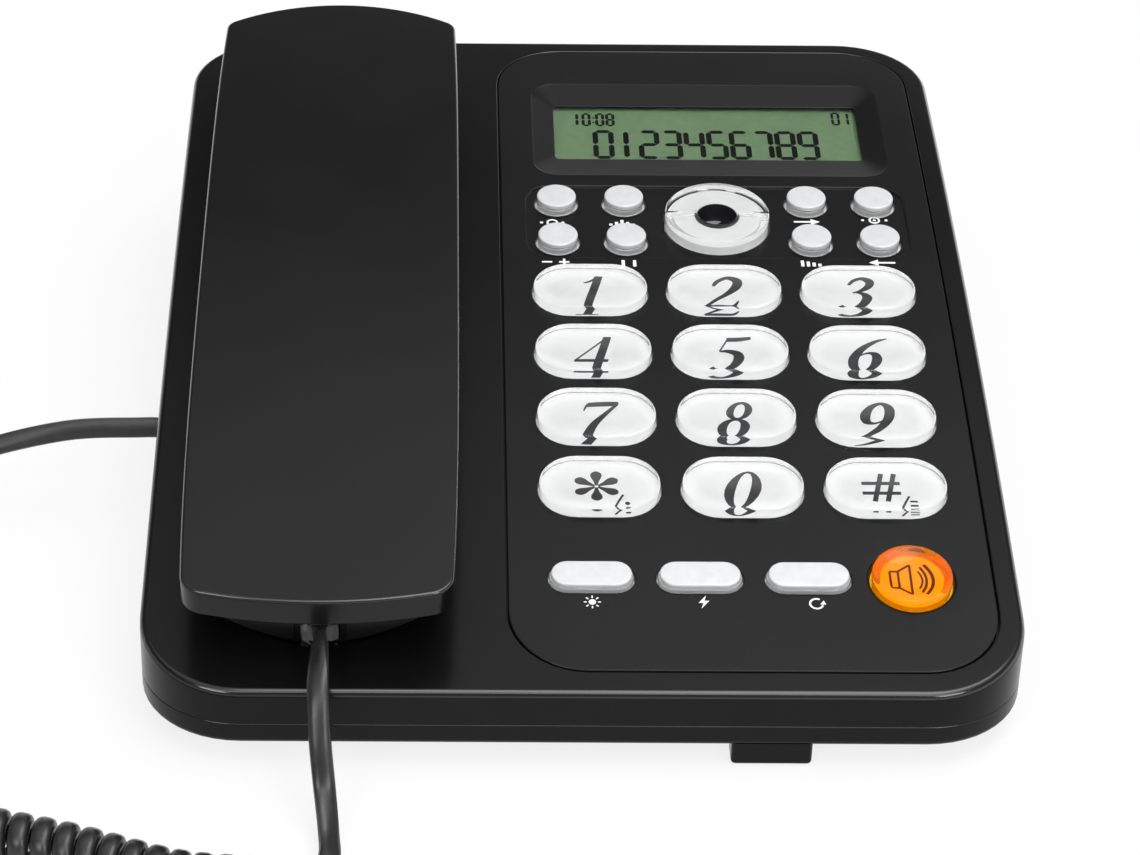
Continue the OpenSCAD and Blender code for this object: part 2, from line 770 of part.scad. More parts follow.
module handset_front() color("#232325") {
    difference() {
        union() {
            handset_slice(-hs_tuck, hs_grip, hs_split - seat);
            for (end = [-1, 1]) handset_bowl(end, 0, 0, hs_split - seat);
            on_crown(hs_x, hs_s) {
                for (y = [-1, 1]) translate([0, y * cup_pitch / 2, cup_foot]) cylinder(h = 17, d = cup_d);
                jack_housing();
            }
        }
        // Space between the walls of the bowls and the cups
        difference() {
            for (end = [-1, 1]) handset_bowl(end, hs_wall, 1.5 * hs_wall, hs_split + 1);
            on_crown(hs_x, hs_s) {
                for (y = [-1, 1]) translate([0, y * cup_pitch / 2, cup_foot])
                    cylinder(h = through, d = cup_d);
                jack_housing();
            }
        }
        difference() {
            handset_slice(-hs_tuck - hs_wall, hs_grip + hs_wall, hs_split + 1);
            on_crown(hs_x, hs_s) for (y = hs_posts) translate([0, y, 0]) cylinder(h = through, d = 8);
        }
        on_crown(hs_x, hs_s) {
            for (y = [-1, 1]) translate([0, y * cup_pitch / 2, cup_foot + hs_wall])
                cylinder(h = 20, d = cup_d - 2 * hs_wall);
            // Ear holes in two rings and one mouth hole
            for (i = [0:6]) translate([0, cup_pitch / 2, 0]) rotate([0, 0, 360 / 7 * i])
                translate([9, 0, cup_foot - 2]) cylinder(h = 6, d = 2.6);
            translate([0, cup_pitch / 2, cup_foot - 2]) cylinder(h = 6, d = 2.6);
            for (i = [-1:1]) translate([5 * i, -cup_pitch / 2, cup_foot - 2]) cylinder(h = 6, d = 1.8);
            for (y = hs_posts) {
                translate([0, y, 0]) cylinder(h = through, d = 3);
                translate([0, y, 0]) cylinder(h = hs_grip + 2, d = 5.4);
            }
            translate([0, jack_y + jack_len / 2, jack_z]) cube([plug_w + 2 * jack_gap + 2 * jack_wall + 0.1,
                jack_len + 6, plug_h + 2 * jack_gap + 2 * jack_wall + 0.1], center = true);
        }
    }
}

module receiver() color("#4a4a4d") {
    on_crown(hs_x, hs_s) translate([0, cup_pitch / 2, cup_foot + hs_wall + seat])
        rotate_extrude() polygon(receiver_r * receiver_profile);
}

module microphone() color("#57575a") {
    on_crown(hs_x, hs_s) translate([0, -cup_pitch / 2, cup_foot + hs_wall + seat]) {
        cylinder(h = mic_h, d = mic_d);
        cylinder(h = mic_flange_t, d = mic_flange_d);
    }
}

module handset_weight() color("#8f9093") {
    under = hs_grip + hs_wall + seat;
    on_crown(hs_x, hs_s) block(weight_w, weight_len, under, under + weight_t);
}

module handset_jack() color("#2c2c2e") on_crown(hs_x, hs_s) translate([0, jack_y, jack_z]) socket();

module handset_plug() color("#d5dade") on_crown(hs_x, hs_s) translate([0, jack_y, jack_z]) plug(plug_out);

module handset_screws() color("#9a9a9c") {
    on_crown(hs_x, hs_s) for (y = hs_posts) translate([0, y, hs_grip + 2 - seat]) {
        translate([0, 0, -hs_screw_head_h]) cylinder(h = hs_screw_head_h, d = hs_screw_head_d);
        translate([0, 0, -0.5]) cylinder(h = hs_screw_len + 0.5, d = hs_screw_d);
    }
}

// Curly cord: one tube from the handset plug to the plug in the left side of the case.
// The two leads follow hand-set points; the curls wind round a smooth axis laid on the desk.
coil_z = curl_r + cable_d / 2 + 0.2;
axis_points = [[-57, -160.4], [-78, -158.4], [-100, -150.4], [-130, -140.6],
    [-158, -124], [-174, -98], [-176, -66], [-164, -40]];
curls = curl_count + 0.5;

function catmull(p, i, t) = let (n = len(p),
    a = p[max(i - 1, 0)], b = p[i], c = p[i + 1], d = p[min(i + 2, n - 1)])
    0.5 * (2 * b + (c - a) * t + (2 * a - 5 * b + 4 * c - d) * t * t + (3 * b - a - 3 * c + d) * t * t * t);
function spline(p, u) = let (n = len(p) - 1, i = min(floor(u * n), n - 1)) catmull(p, i, u * n - i);
function unit(v) = v / norm(v);

axis_steps = 240;
axis_path = [for (k = [0:axis_steps]) spline(axis_points, k / axis_steps)];
function run(p, k) = k == 0 ? [0] : let (a = run(p, k - 1)) concat(a, [a[k - 1] + norm(p[k] - p[k - 1])]);
axis_run = run(axis_path, axis_steps);
axis_len = axis_run[axis_steps];
function axis_at(d) = let (k = min(max(search_run(d, 0, axis_steps), 0), axis_steps - 1),
    t = (d - axis_run[k]) / (axis_run[k + 1] - axis_run[k]))
    axis_path[k] + t * (axis_path[k + 1] - axis_path[k]);
function search_run(d, lo, hi) = hi - lo <= 1 ? lo : let (m = floor((lo + hi) / 2))
    axis_run[m] <= d ? search_run(d, m, hi) : search_run(d, lo, m);
function axis_dir(d) = unit(axis_at(min(d + 2, axis_len)) - axis_at(max(d - 2, 0)));

rings_per_curl = 8;
curl_steps = round(curls * rings_per_curl);
curl_path = [for (k = [0:curl_steps])
    let (d = axis_len * k / curl_steps, a = 360 * k / rings_per_curl,
        c = axis_at(d), u = axis_dir(d), n = [-u[1], u[0]])
    [c[0] + n[0] * curl_r * sin(a), c[1] + n[1] * curl_r * sin(a), coil_z - curl_r * cos(a)]];

// Lead from the handset plug over the front edge to the first curl
hs_slope = slope_at(hs_s);
hs_y = crown_y - crown_r * sin(hs_slope);
hs_z = crown_z + crown_r * cos(hs_slope);
function from_handset(y, z) = [hs_x, hs_y + y * cos(hs_slope) - z * sin(hs_slope),
    hs_z + y * sin(hs_slope) + z * cos(hs_slope)];
lead_start = from_handset(jack_y - plug_out - lead_gap, jack_z);
lead_out = from_handset(jack_y - plug_out - cable_d - 1, jack_z);
front_lead = [lead_start, lead_out, [hs_x, -121, 23.5], [hs_x + 0.5, -127.5, 16], [hs_x + 1.5, -133, 8],
    [hs_x + 2.4, -140, 3.4], [hs_x + 2.7, -147, 2.4], [hs_x + 0.6, -154, 2.2], curl_path[0]];
// Lead from the last curl to the plug in the left side
side_exit = [-body_w / 2 - base_plug_out - lead_gap, base_jack_y, base_jack_z];
side_lead = [curl_path[curl_steps], [-150, -36, 13], [-132, -28, 18], [-112, -24.5, 21.7],
    side_exit - [cable_d + 1, 0, 0], side_exit];
lead_steps = 22;
cord_path = concat([front_lead[0]], [for (k = [2:lead_steps - 1]) spline(front_lead, k / lead_steps)],
    curl_path, [for (k = [1:lead_steps - 2]) spline(side_lead, k / lead_steps)], [side_exit]);

// Frames that turn as little as possible from ring to ring
function path_dir(k) = let (n = len(cord_path) - 1) unit(cord_path[min(k + 1, n)] - cord_path[max(k - 1, 0)]);
function square_to(v, t) = unit(v - (v * t) * t);
cord_frames = [for (k = 0, v = square_to([1, 0, 0.01], path_dir(0)); k < len(cord_path);
    k = k + 1, v = k < len(cord_path) ? square_to(v, path_dir(k)) : v) v];
cord_sides = 6;
cord_points = [for (k = [0:len(cord_path) - 1]) let (t = path_dir(k), v = cord_frames[k], w = cross(t, v))
    for (j = [0:cord_sides - 1]) cord_path[k] + cable_d / 2 * (cos(60 * j) * v + sin(60 * j) * w)];
cord_last = (len(cord_path) - 1) * cord_sides;
cord_faces = concat([[for (j = [0:cord_sides - 1]) j]],
    [for (k = [0:len(cord_path) - 2], j = [0:cord_sides - 1]) let (a = k * cord_sides + j,
        b = k * cord_sides + (j + 1) % cord_sides)
        each [[a, a + cord_sides, b], [b, a + cord_sides, b + cord_sides]]],
    [[for (j = [cord_sides - 1:-1:0]) cord_last + j]]);

// Least gap between stretches of the tube that are more than half a curl apart
self_gap = min([for (i = [0:len(cord_path) - 1]) min(concat([100],
    [for (j = [i + 5:min(i + 40, len(cord_path) - 1)]) norm(cord_path[i] - cord_path[j])]))]) - cable_d;

module handset_cord() color("#1c1c1e") {
    echo(cord_self_gap = self_gap, axis_len = axis_len, rings = len(cord_path));
    polyhedron(cord_points, cord_faces, convexity = 10);
}

upper_shell();
lower_shell();
fascia();
lcd_lens();
lcd_glass();
lcd_tray();
main_board();
key_mat();
loudspeaker();
hook_switch();
hook_plunger();
base_jack();
base_plug();
line_jack();
rubber_feet();
case_screws();
board_screws();
number_key(-1, 0);  // key_1
number_key(0, 0);  // key_2
number_key(1, 0);  // key_3
number_key(-1, 1);  // key_4
number_key(0, 1);  // key_5
number_key(1, 1);  // key_6
number_key(-1, 2);  // key_7
number_key(0, 2);  // key_8
number_key(1, 2);  // key_9
number_key(-1, 3);  // key_star
number_key(0, 3);  // key_0
number_key(1, 3);  // key_hash
menu_key(menu_x[0], 0.5);  // menu_key_1
menu_key(menu_x[1], 0.5);  // menu_key_2
menu_key(menu_x[2], 0.5);  // menu_key_3
menu_key(menu_x[3], 0.5);  // menu_key_4
menu_key(menu_x[0], -0.5);  // menu_key_5
menu_key(menu_x[1], -0.5);  // menu_key_6
menu_key(menu_x[2], -0.5);  // menu_key_7
menu_key(menu_x[3], -0.5);  // menu_key_8
ring_key(1);  // up_key
ring_key(-1);  // down_key
func_key(0);  // func_key_1
func_key(1);  // func_key_2
func_key(2);  // func_key_3
speaker_key();
handset_back();
handset_front();
receiver();
microphone();
handset_weight();
handset_jack();
handset_screws();
handset_plug();
handset_cord();
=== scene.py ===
# %% [markdown]
# # A desk telephone with a caller display
#
# The object is a black desk telephone: a low case with a crowned top, a keypad fascia with clear
# keys on its right, and a handset that lies on its left and hangs on a curly cord.
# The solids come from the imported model, which is loaded first and never moved. This lesson dresses
# them: it makes the moulded skins with eased edges, the clear keys with their printed digits, the
# display, the cord and the finishes, and lets each piece ride on the body that carries it.

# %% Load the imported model
import json
import math

import bmesh
import bpy
from mathutils import Matrix, Vector
from mathutils.geometry import delaunay_2d_cdt

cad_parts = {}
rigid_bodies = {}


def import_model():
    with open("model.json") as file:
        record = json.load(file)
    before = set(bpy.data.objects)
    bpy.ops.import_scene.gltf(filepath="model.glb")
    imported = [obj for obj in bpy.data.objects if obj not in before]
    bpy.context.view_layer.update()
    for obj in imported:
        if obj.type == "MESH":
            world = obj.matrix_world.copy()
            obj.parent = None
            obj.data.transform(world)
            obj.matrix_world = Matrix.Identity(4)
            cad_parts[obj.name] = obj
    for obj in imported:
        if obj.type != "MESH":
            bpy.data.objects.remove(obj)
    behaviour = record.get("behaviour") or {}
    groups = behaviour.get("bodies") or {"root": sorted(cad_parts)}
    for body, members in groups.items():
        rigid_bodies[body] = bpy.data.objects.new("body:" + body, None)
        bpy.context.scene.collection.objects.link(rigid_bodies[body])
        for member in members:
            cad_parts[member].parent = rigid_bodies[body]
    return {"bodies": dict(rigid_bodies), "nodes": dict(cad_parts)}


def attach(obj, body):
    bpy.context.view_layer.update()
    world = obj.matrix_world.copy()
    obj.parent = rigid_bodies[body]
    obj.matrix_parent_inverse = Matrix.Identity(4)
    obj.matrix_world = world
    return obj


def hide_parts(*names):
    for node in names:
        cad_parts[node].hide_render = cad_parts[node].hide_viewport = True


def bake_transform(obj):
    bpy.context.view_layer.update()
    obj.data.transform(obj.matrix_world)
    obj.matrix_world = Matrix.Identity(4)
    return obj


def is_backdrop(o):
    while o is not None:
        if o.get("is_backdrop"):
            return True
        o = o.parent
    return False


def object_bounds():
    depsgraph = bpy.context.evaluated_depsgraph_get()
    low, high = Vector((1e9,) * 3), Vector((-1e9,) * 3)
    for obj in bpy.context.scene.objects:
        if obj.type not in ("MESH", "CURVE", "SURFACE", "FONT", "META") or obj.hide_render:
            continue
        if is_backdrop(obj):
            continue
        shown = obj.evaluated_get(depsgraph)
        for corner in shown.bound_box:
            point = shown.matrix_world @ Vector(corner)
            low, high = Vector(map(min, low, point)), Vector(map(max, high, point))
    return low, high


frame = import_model()
cad_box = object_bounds()
MM = 0.001

loaded = set(frame["nodes"].values()) | set(frame["bodies"].values())
for leftover in [o for o in bpy.data.objects if o not in loaded]:
    bpy.data.objects.remove(leftover)

# %% [markdown]
# ## The camera
#
# The picture looks down on the keys from in front. A camera could be placed by eye, but the straight
# edges of the case fix its place, tilt and focal length, so those fitted numbers are used. The lens
# axis lies left of the picture's middle, which a small lens shift gives without turning the view.

# %% Place the camera
IMAGE_W, FOCAL_PX, LENS_AXIS_X = 1140, 3408.8, 458.0
SENSOR_MM = 36
CAMERA_PLACE = (-0.03022, -0.6578, 0.42712)
pitch, yaw, roll = (math.radians(turn) for turn in (32.53, 0.46, -0.58))

forward = Vector((math.sin(yaw) * math.cos(pitch), math.cos(yaw) * math.cos(pitch), -math.sin(pitch)))
level_right = Vector((math.cos(yaw), -math.sin(yaw), 0))
level_down = forward.cross(level_right)
right = math.cos(roll) * level_right + math.sin(roll) * level_down
down = math.cos(roll) * level_down - math.sin(roll) * level_right

camera_data = bpy.data.cameras.new("view")
camera_data.sensor_fit = "HORIZONTAL"
camera_data.sensor_width = SENSOR_MM
camera_data.lens = FOCAL_PX / IMAGE_W * SENSOR_MM
camera_data.shift_x = 0.5 - LENS_AXIS_X / IMAGE_W
camera = bpy.data.objects.new("view", camera_data)
camera.matrix_world = Matrix.Translation(CAMERA_PLACE) @ Matrix(
    (right, -down, -forward)).transposed().to_4x4()
bpy.context.scene.collection.objects.link(camera)
bpy.context.scene.camera = camera
print("lens: %.1f mm, shift: %.3f" % (camera_data.lens, camera_data.shift_x))

# %% [markdown]
# ## The crowned top
#
# Everything on the case is laid out on its top, which is part of a large cylinder lying across the
# case. Places are given as x across, s along the curve from the front edge and h above it, all in
# millimetres, as a designer would dimension them. A flat piece such as a key has a seat: a matrix
# whose z axis stands square to the top.

# %% Measure along the crown
BODY_W, BODY_D, CORNER_R = 180.0, 230.0, 21.0
FRONT_Z, PART_Z = 18.1, 10.3
CROWN_R = 1300.0
FRONT_SLOPE = math.radians(12.8)
CROWN_Y = CROWN_R * math.sin(FRONT_SLOPE) - BODY_D / 2
CROWN_Z = FRONT_Z - CROWN_R * math.cos(FRONT_SLOPE)
FASCIA_X, FASCIA_S = 34.8, 116.75
HANDSET_X, HANDSET_S = -52.9, 114.4


def on_crown(x, s, h=0.0):
    """The point x across, s along the crown and h above it."""
    slope = FRONT_SLOPE - s / CROWN_R
    radius = CROWN_R + h
    return Vector((x, CROWN_Y - radius * math.sin(slope), CROWN_Z + radius * math.cos(slope)))


def crown_height(y):
    """Height of the crown above the desk at a depth of the case."""
    return CROWN_Z + math.sqrt(CROWN_R ** 2 - (y - CROWN_Y) ** 2)


def seat_at(x, s):
    """A flat frame on the crown, its z axis square to the surface."""
    return Matrix.Translation(on_crown(x, s)) @ Matrix.Rotation(FRONT_SLOPE - s / CROWN_R, 4, "X")


handset_seat = seat_at(HANDSET_X, HANDSET_S)
print("rear edge of the crown: %.1f mm above the desk" % crown_height(BODY_D / 2))

# %% [markdown]
# ## Outlines and skins
#
# Nearly every moulding here is an outline that grows and shrinks a little as it rises. Boxes with a
# bevel modifier would do for some, but the top is curved and has many holes, and a modifier leaves
# long faces that shade badly. So an outline keeps the direction outward at each of its points, an
# inset is then exact, and a skin is a stack of such rings closed by evenly filled sheets.

# %% Outlines that know their outward direction
def arc(cx, cy, r, start, stop, steps):
    """Points of an arc, each with its outward direction."""
    turns = [start + (stop - start) * k / steps for k in range(steps + 1)]
    return [(cx + r * math.cos(a), cy + r * math.sin(a), math.cos(a), math.sin(a)) for a in turns]


def side(a, b, count):
    """Points between the ends of a straight side, with the direction of its first end."""
    return [(a[0] + (b[0] - a[0]) * k / (count + 1), a[1] + (b[1] - a[1]) * k / (count + 1), a[2], a[3])
            for k in range(1, count + 1)]


def closed(runs, fill):
    """Joins arcs into one outline; fill says how many points go on the side after each arc."""
    out = []
    for k, run in enumerate(runs):
        out += run + side(run[-1], runs[(k + 1) % len(runs)][0], fill[k % len(fill)])
    return out


def rounded(w, d, r, steps=8, fill=(0, 0)):
    """A rounded rectangle; fill is for the sides along x, then along y."""
    quarter = math.pi / 2
    places = [(1, 1), (-1, 1), (-1, -1), (1, -1)]
    return closed([arc(x * (w / 2 - r), y * (d / 2 - r), r, k * quarter, (k + 1) * quarter, steps)
                   for k, (x, y) in enumerate(places)], fill)


def capsule(w, d, steps=14, fill=6):
    """A bar with round ends."""
    half, reach, r = math.pi / 2, (w - d) / 2, d / 2
    return closed([arc(reach, 0, r, -half, half, steps), arc(-reach, 0, r, half, 3 * half, steps)], [fill])


def circle(r, steps=40):
    return arc(0, 0, r, 0, math.tau, steps)[:-1]


def grown(outline, by):
    return [(x + nx * by, y + ny * by, nx, ny) for x, y, nx, ny in outline]


def moved(outline, dx, dy):
    return [(x + dx, y + dy, nx, ny) for x, y, nx, ny in outline]


def easing(r, steps=4):
    """(inset, drop) pairs of a rounded edge, from the side wall to the face."""
    turns = [math.pi / 2 * k / steps for k in range(steps + 1)]
    return [(r * (1 - math.cos(a)), r * (1 - math.sin(a))) for a in turns]


print("points on a number key's outline:", len(capsule(25.6, 16.2)))


# %% Skins: rings, bands and evenly filled sheets
def within(x, y, loop):
    """True where a point lies inside a closed loop."""
    inside = False
    for (ax, ay), (bx, by) in zip(loop, loop[1:] + loop[:1]):
        if (ay > y) != (by > y) and x < (bx - ax) * (y - ay) / (by - ay) + ax:
            inside = not inside
    return inside


class Region:
    """The plane inside one loop and outside others."""

    def __init__(self, loops):
        self.loops = [[(p[0], p[1]) for p in loop] for loop in loops]
        self.boxes = [(min(x for x, _ in a), max(x for x, _ in a), min(y for _, y in a), max(y for _, y in a))
                      for a in self.loops]

    def holds(self, x, y):
        hits = [lo_x < x < hi_x and lo_y < y < hi_y and within(x, y, loop)
                for loop, (lo_x, hi_x, lo_y, hi_y) in zip(self.loops, self.boxes)]
        return hits[0] and not any(hits[1:])


class Skin:
    """Collects points and faces in millimetres for one welded mesh."""

    def __init__(self):
        self.points, self.faces = [], []

    def ring(self, points):
        first = len(self.points)
        self.points += [Vector(p) for p in points]
        return list(range(first, len(self.points)))

    def band(self, rings, loop=False):
        """Joins closed rings of equal count, and the last to the first if it is a loop."""
        ids = [self.ring(r) for r in rings]
        for a, b in zip(ids, ids[1:] + (ids[:1] if loop else [])):
            n = len(a)
            self.faces += [(a[k], a[(k + 1) % n], b[(k + 1) % n], b[k]) for k in range(n)]

    def cap(self, points):
        self.faces.append(self.ring(points))

    def solid(self, rings):
        """A band with both its ends closed."""
        self.band(rings)
        self.cap(rings[0])
        self.cap(rings[-1])
        return self

    def join(self, other):
        first = len(self.points)
        self.faces += [[k + first for k in face] for face in other.faces]
        self.points += other.points

    def sheet(self, outer, holes, place, step):
        """Fills an outline that has holes with even triangles, each point put where place says."""
        region = Region([outer, *holes])
        flat, edges = [], []
        for loop in region.loops:
            first = len(flat)
            flat += loop
            edges += [(first + k, first + (k + 1) % len(loop)) for k in range(len(loop))]
        rim = list(flat)
        lo_x, hi_x, lo_y, hi_y = region.boxes[0]
        for i in range(int((hi_x - lo_x) / step)):
            for j in range(int((hi_y - lo_y) / step)):
                x, y = lo_x + (i + 0.5) * step, lo_y + (j + 0.5) * step
                clear = min((x - a) ** 2 + (y - b) ** 2 for a, b in rim) > (0.55 * step) ** 2
                if clear and region.holds(x, y):
                    flat.append((x, y))
        points, _, faces, *_ = delaunay_2d_cdt([Vector(p) for p in flat], edges, [], 0, 1e-5)
        ids = self.ring([place(p.x, p.y) for p in points])
        for face in faces:
            mid = sum((points[k] for k in face), Vector((0, 0))) / len(face)
            if region.holds(mid.x, mid.y):
                self.faces.append([ids[k] for k in face])


CREASE, WELD, SLIVER = math.radians(38), 2e-6, 1e-6


def dress(piece, body, finish, replaces=()):
    """Gives a piece its finish, its body and the nodes that it stands for."""
    piece.data.materials.clear()
    piece.data.materials.append(finish)
    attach(piece, body)
    if replaces:
        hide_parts(*replaces)
    return piece


def eased_normals(mesh_bm):
    """Smooth shading that stops at creases."""
    for face in mesh_bm.faces:
        face.smooth = True
    for edge in mesh_bm.edges:
        edge.smooth = len(edge.link_faces) != 2 or edge.calc_face_angle() < CREASE


def piece_of(name, bm, even=True):
    """Turns a finished bmesh into an object of the scene."""
    mesh = bpy.data.meshes.new(name)
    bm.to_mesh(mesh)
    bm.free()
    piece = bpy.data.objects.new(name, mesh)
    bpy.context.scene.collection.objects.link(piece)
    if even:
        piece.modifiers.new("even_normals", "WEIGHTED_NORMAL").keep_sharp = True
    return piece


def moulded(name, skin, even=True):
    """Welds a skin into one mesh in metres."""
    bm = bmesh.new()
    verts = [bm.verts.new(p * MM) for p in skin.points]
    for face in skin.faces:
        if len(set(face)) > 2:
            bm.faces.new([verts[k] for k in face])
    bmesh.ops.remove_doubles(bm, verts=bm.verts[:], dist=WELD)
    bmesh.ops.dissolve_degenerate(bm, edges=bm.edges[:], dist=SLIVER)
    bmesh.ops.recalc_face_normals(bm, faces=bm.faces[:])
    eased_normals(bm)
    return piece_of(name, bm, even)


# %% [markdown]
# ## The curly cord: route
#
# A handset cord is a flat four-wire cable wound into curls, with a straight lead at each end. A curve
# with a round bevel would be quick, but the real cable is flat, and twists from its edge to its face
# as it leaves the handset. So the route is worked out point by point, as in the solid, and a flat
# section with round edges is swept along it with its own width direction.

# %% Work out the cord's route
CURL_R, CURLS, COIL_Z = 4.3, 42.5, 6.3
COIL_AXIS = [(-57, -160.4), (-78, -158.4), (-100, -150.4), (-130, -140.6),
             (-158, -124), (-174, -98), (-176, -66), (-164, -40)]
POINTS_PER_CURL, AXIS_SAMPLES, FRONT_SAMPLES, SIDE_SAMPLES = 16, 240, 64, 48
JACK_Y, JACK_Z, PLUG_OUT, BASE_PLUG_OUT, LEAD_GAP, STRAIGHT = -103.5, 3.3, 3.0, 0.4, 0.25, 4.6
BASE_JACK = Vector((-BODY_W / 2, -24, 22.4))


def smooth_run(points, steps):
    """Samples a smooth curve through points, an even number of samples for each stretch."""
    points = [Vector(p) for p in points]
    last = len(points) - 1
    out = []
    for k in range(steps + 1):
        at = k / steps * last
        i = min(int(at), last - 1)
        t = at - i
        a, b, c, d = (points[max(0, min(n, last))] for n in (i - 1, i, i + 1, i + 2))
        out.append(0.5 * (2 * b + (c - a) * t + (2 * a - 5 * b + 4 * c - d) * t ** 2
                          + (3 * b - a - 3 * c + d) * t ** 3))
    return out


def even_run(points, count):
    """The same curve at equal distances."""
    run = [0.0]
    for a, b in zip(points, points[1:]):
        run.append(run[-1] + (b - a).length)
    out, k = [], 0
    for n in range(count + 1):
        want = run[-1] * n / count
        while k < len(run) - 2 and run[k + 1] < want:
            k += 1
        out.append(points[k].lerp(points[k + 1], (want - run[k]) / (run[k + 1] - run[k])))
    return out


curl_count = int(CURLS * POINTS_PER_CURL)
axis = even_run(smooth_run([(x, y, 0) for x, y in COIL_AXIS], AXIS_SAMPLES), curl_count)
coil, coil_width = [], []
for k, centre in enumerate(axis):
    along = (axis[min(k + 4, curl_count)] - axis[max(k - 4, 0)]).normalized()
    across = Vector((-along.y, along.x, 0))
    turn = math.tau * k / POINTS_PER_CURL
    coil.append(centre + across * CURL_R * math.sin(turn) + Vector((0, 0, COIL_Z - CURL_R * math.cos(turn))))
    coil_width.append(along)

lead_start = handset_seat @ Vector((0, JACK_Y - PLUG_OUT - LEAD_GAP, JACK_Z))
lead_out = handset_seat @ Vector((0, JACK_Y - PLUG_OUT - STRAIGHT, JACK_Z))
side_end = BASE_JACK - Vector((BASE_PLUG_OUT + LEAD_GAP, 0, 0))
front_lead = smooth_run([lead_start, lead_out, (-52.9, -121, 23.5), (-52.4, -127.5, 16), (-51.4, -133, 8),
                         (-50.5, -140, 3.4), (-50.2, -147, 2.4), (-52.3, -154, 2.2), coil[0]], FRONT_SAMPLES)[:-1]
side_lead = smooth_run([coil[-1], (-150, -36, 13), (-132, -28, 18), (-112, -24.5, 21.7),
                        side_end - Vector((STRAIGHT, 0, 0)), side_end], SIDE_SAMPLES)[1:]
route = front_lead + coil + side_lead
cord_length = sum((b - a).length for a, b in zip(route, route[1:])) * MM
print("cord: %d points, %.2f m of cable" % (len(route), cord_length))

# %% [markdown]
# The width direction turns along the leads: on edge at the handset, flat over the front of the case,
# tilted on the desk, and along the coil's axis in the curls. The section is a rounded bar, a little
# thicker in the curls.

# %% Sweep the flat cable along the route
LEAD_SIZE, COIL_SIZE = (4.5, 2.3), (4.1, 3.1)
LEAD_TURNS = [(0.25, 0, 1), (0.8, 0, 0.8), (1, 0, 0.25), (1, 0, 0), (1, 0, -0.2), (1, 0.1, -0.55),
              (1, 0.1, -0.35), (1, 0, 0), (1, -0.1, 0)]
SIDE_TURNS = [(0.1, 1, 0.2), (0, 0.8, 0.6)] + [(0, 0.5, 0.85)] * 3
SECTION_POINTS, FLAT_SIDES, FLAT_FACES = 14, 0.7, 0.8
CHANGE_FROM, CHANGE_OVER = 14, 20


def flattened(value, power):
    return math.copysign(abs(value) ** power, value)


SECTION = [(flattened(math.cos(a), FLAT_SIDES), flattened(math.sin(a), FLAT_FACES))
           for a in (math.tau * k / SECTION_POINTS for k in range(SECTION_POINTS))]
first_sign = 1 if coil_width[0].x > 0 else -1
widths = [w * first_sign for w in smooth_run(LEAD_TURNS, len(front_lead) - 1)] + coil_width
widths += smooth_run([coil_width[-1], *SIDE_TURNS], len(side_lead) - 1)

rings = []
for k, point in enumerate(route):
    along = (route[min(k + 1, len(route) - 1)] - route[max(k - 1, 0)]).normalized()
    wide = (widths[k] - widths[k].dot(along) * along).normalized()
    thick = along.cross(wide)
    from_ends = min(k - len(front_lead), len(route) - len(side_lead) - k)
    into = min(1.0, max(0.0, (from_ends + CHANGE_FROM) / CHANGE_OVER))
    w, t = (a + (b - a) * into for a, b in zip(LEAD_SIZE, COIL_SIZE))
    rings.append([point + wide * (w / 2 * a) + thick * (t / 2 * b) for a, b in SECTION])
cord = moulded("curly_cord", Skin().solid(rings), even=False)
print("cord faces:", len(cord.data.polygons))

# %% [markdown]
# ## Shader maths
#
# Finishes are built from nodes. Writing them as sums and products of wires keeps a recipe as short as
# the idea behind it: a wire stands for a socket, the operators add Math nodes, and one method makes
# any other node.

# %% Wires: sockets that add and multiply
class Wire:
    """An output socket of a material's nodes."""

    def __init__(self, tree, socket=None):
        self.tree, self.socket = tree, socket

    def feed(self, target, value):
        if isinstance(value, Wire):
            self.tree.links.new(value.socket, target)
        else:
            target.default_value = value

    def node(self, kind, settings=None, sockets=None, out=0):
        """Any node: its type, its settings, the values or links of its sockets, and which output to use."""
        made = self.tree.nodes.new(kind)
        for key, value in (settings or {}).items():
            if key == "stops":
                ramp = made.color_ramp.elements
                for n, (place, colour) in enumerate(value):
                    stop = ramp[n] if n < len(ramp) else ramp.new(place)
                    stop.position, stop.color = place, colour
            else:
                setattr(made, key, value)
        for key, value in (sockets or {}).items():
            self.feed(made.inputs[key], value)
        return Wire(self.tree, made.outputs[out] if made.outputs else None)

    def math(self, operation, a, b):
        return self.node("ShaderNodeMath", {"operation": operation}, {0: a, 1: b})

    def __add__(self, other):
        return self.math("ADD", self, other)

    def __mul__(self, other):
        return self.math("MULTIPLY", self, other)

    def __rsub__(self, other):
        return self.math("SUBTRACT", other, self)

    __radd__, __rmul__ = __add__, __mul__

    def between(self, low, high):
        """0 below low, 1 above high, and a straight rise between them."""
        return self.node("ShaderNodeMapRange", None, {0: self, 1: low, 2: high, 3: 0.0, 4: 1.0})

    def tint(self, dark, light):
        """A mix of two colours, by this value."""
        return self.node("ShaderNodeMix", {"data_type": "RGBA"}, {0: self, 6: dark, 7: light}, 2)


def grey(v):
    return (v, v, v, 1.0)


def new_finish(name):
    """An empty material, the start of its wires, and the places where noise is read."""
    material = bpy.data.materials.new(name)
    material.use_nodes = True
    material.node_tree.nodes.clear()
    start = Wire(material.node_tree)
    place = start.node("ShaderNodeTexCoord", out=3)
    return material, start, place


def grain(start, place, scale, detail=3.0):
    return start.node("ShaderNodeTexNoise", None, {"Vector": place, "Scale": scale, "Detail": detail})


def surface(start, **sockets):
    """Ends a material in one shader; constant values are set on its own sockets."""
    named = {key.replace("_", " "): value for key, value in sockets.items()}
    shader = start.node("ShaderNodeBsdfPrincipled", None, named)
    start.node("ShaderNodeOutputMaterial", None, {"Surface": shader})


def bumped(start, height, strength, distance):
    return start.node("ShaderNodeBump", None, {"Height": height, "Strength": strength, "Distance": distance})


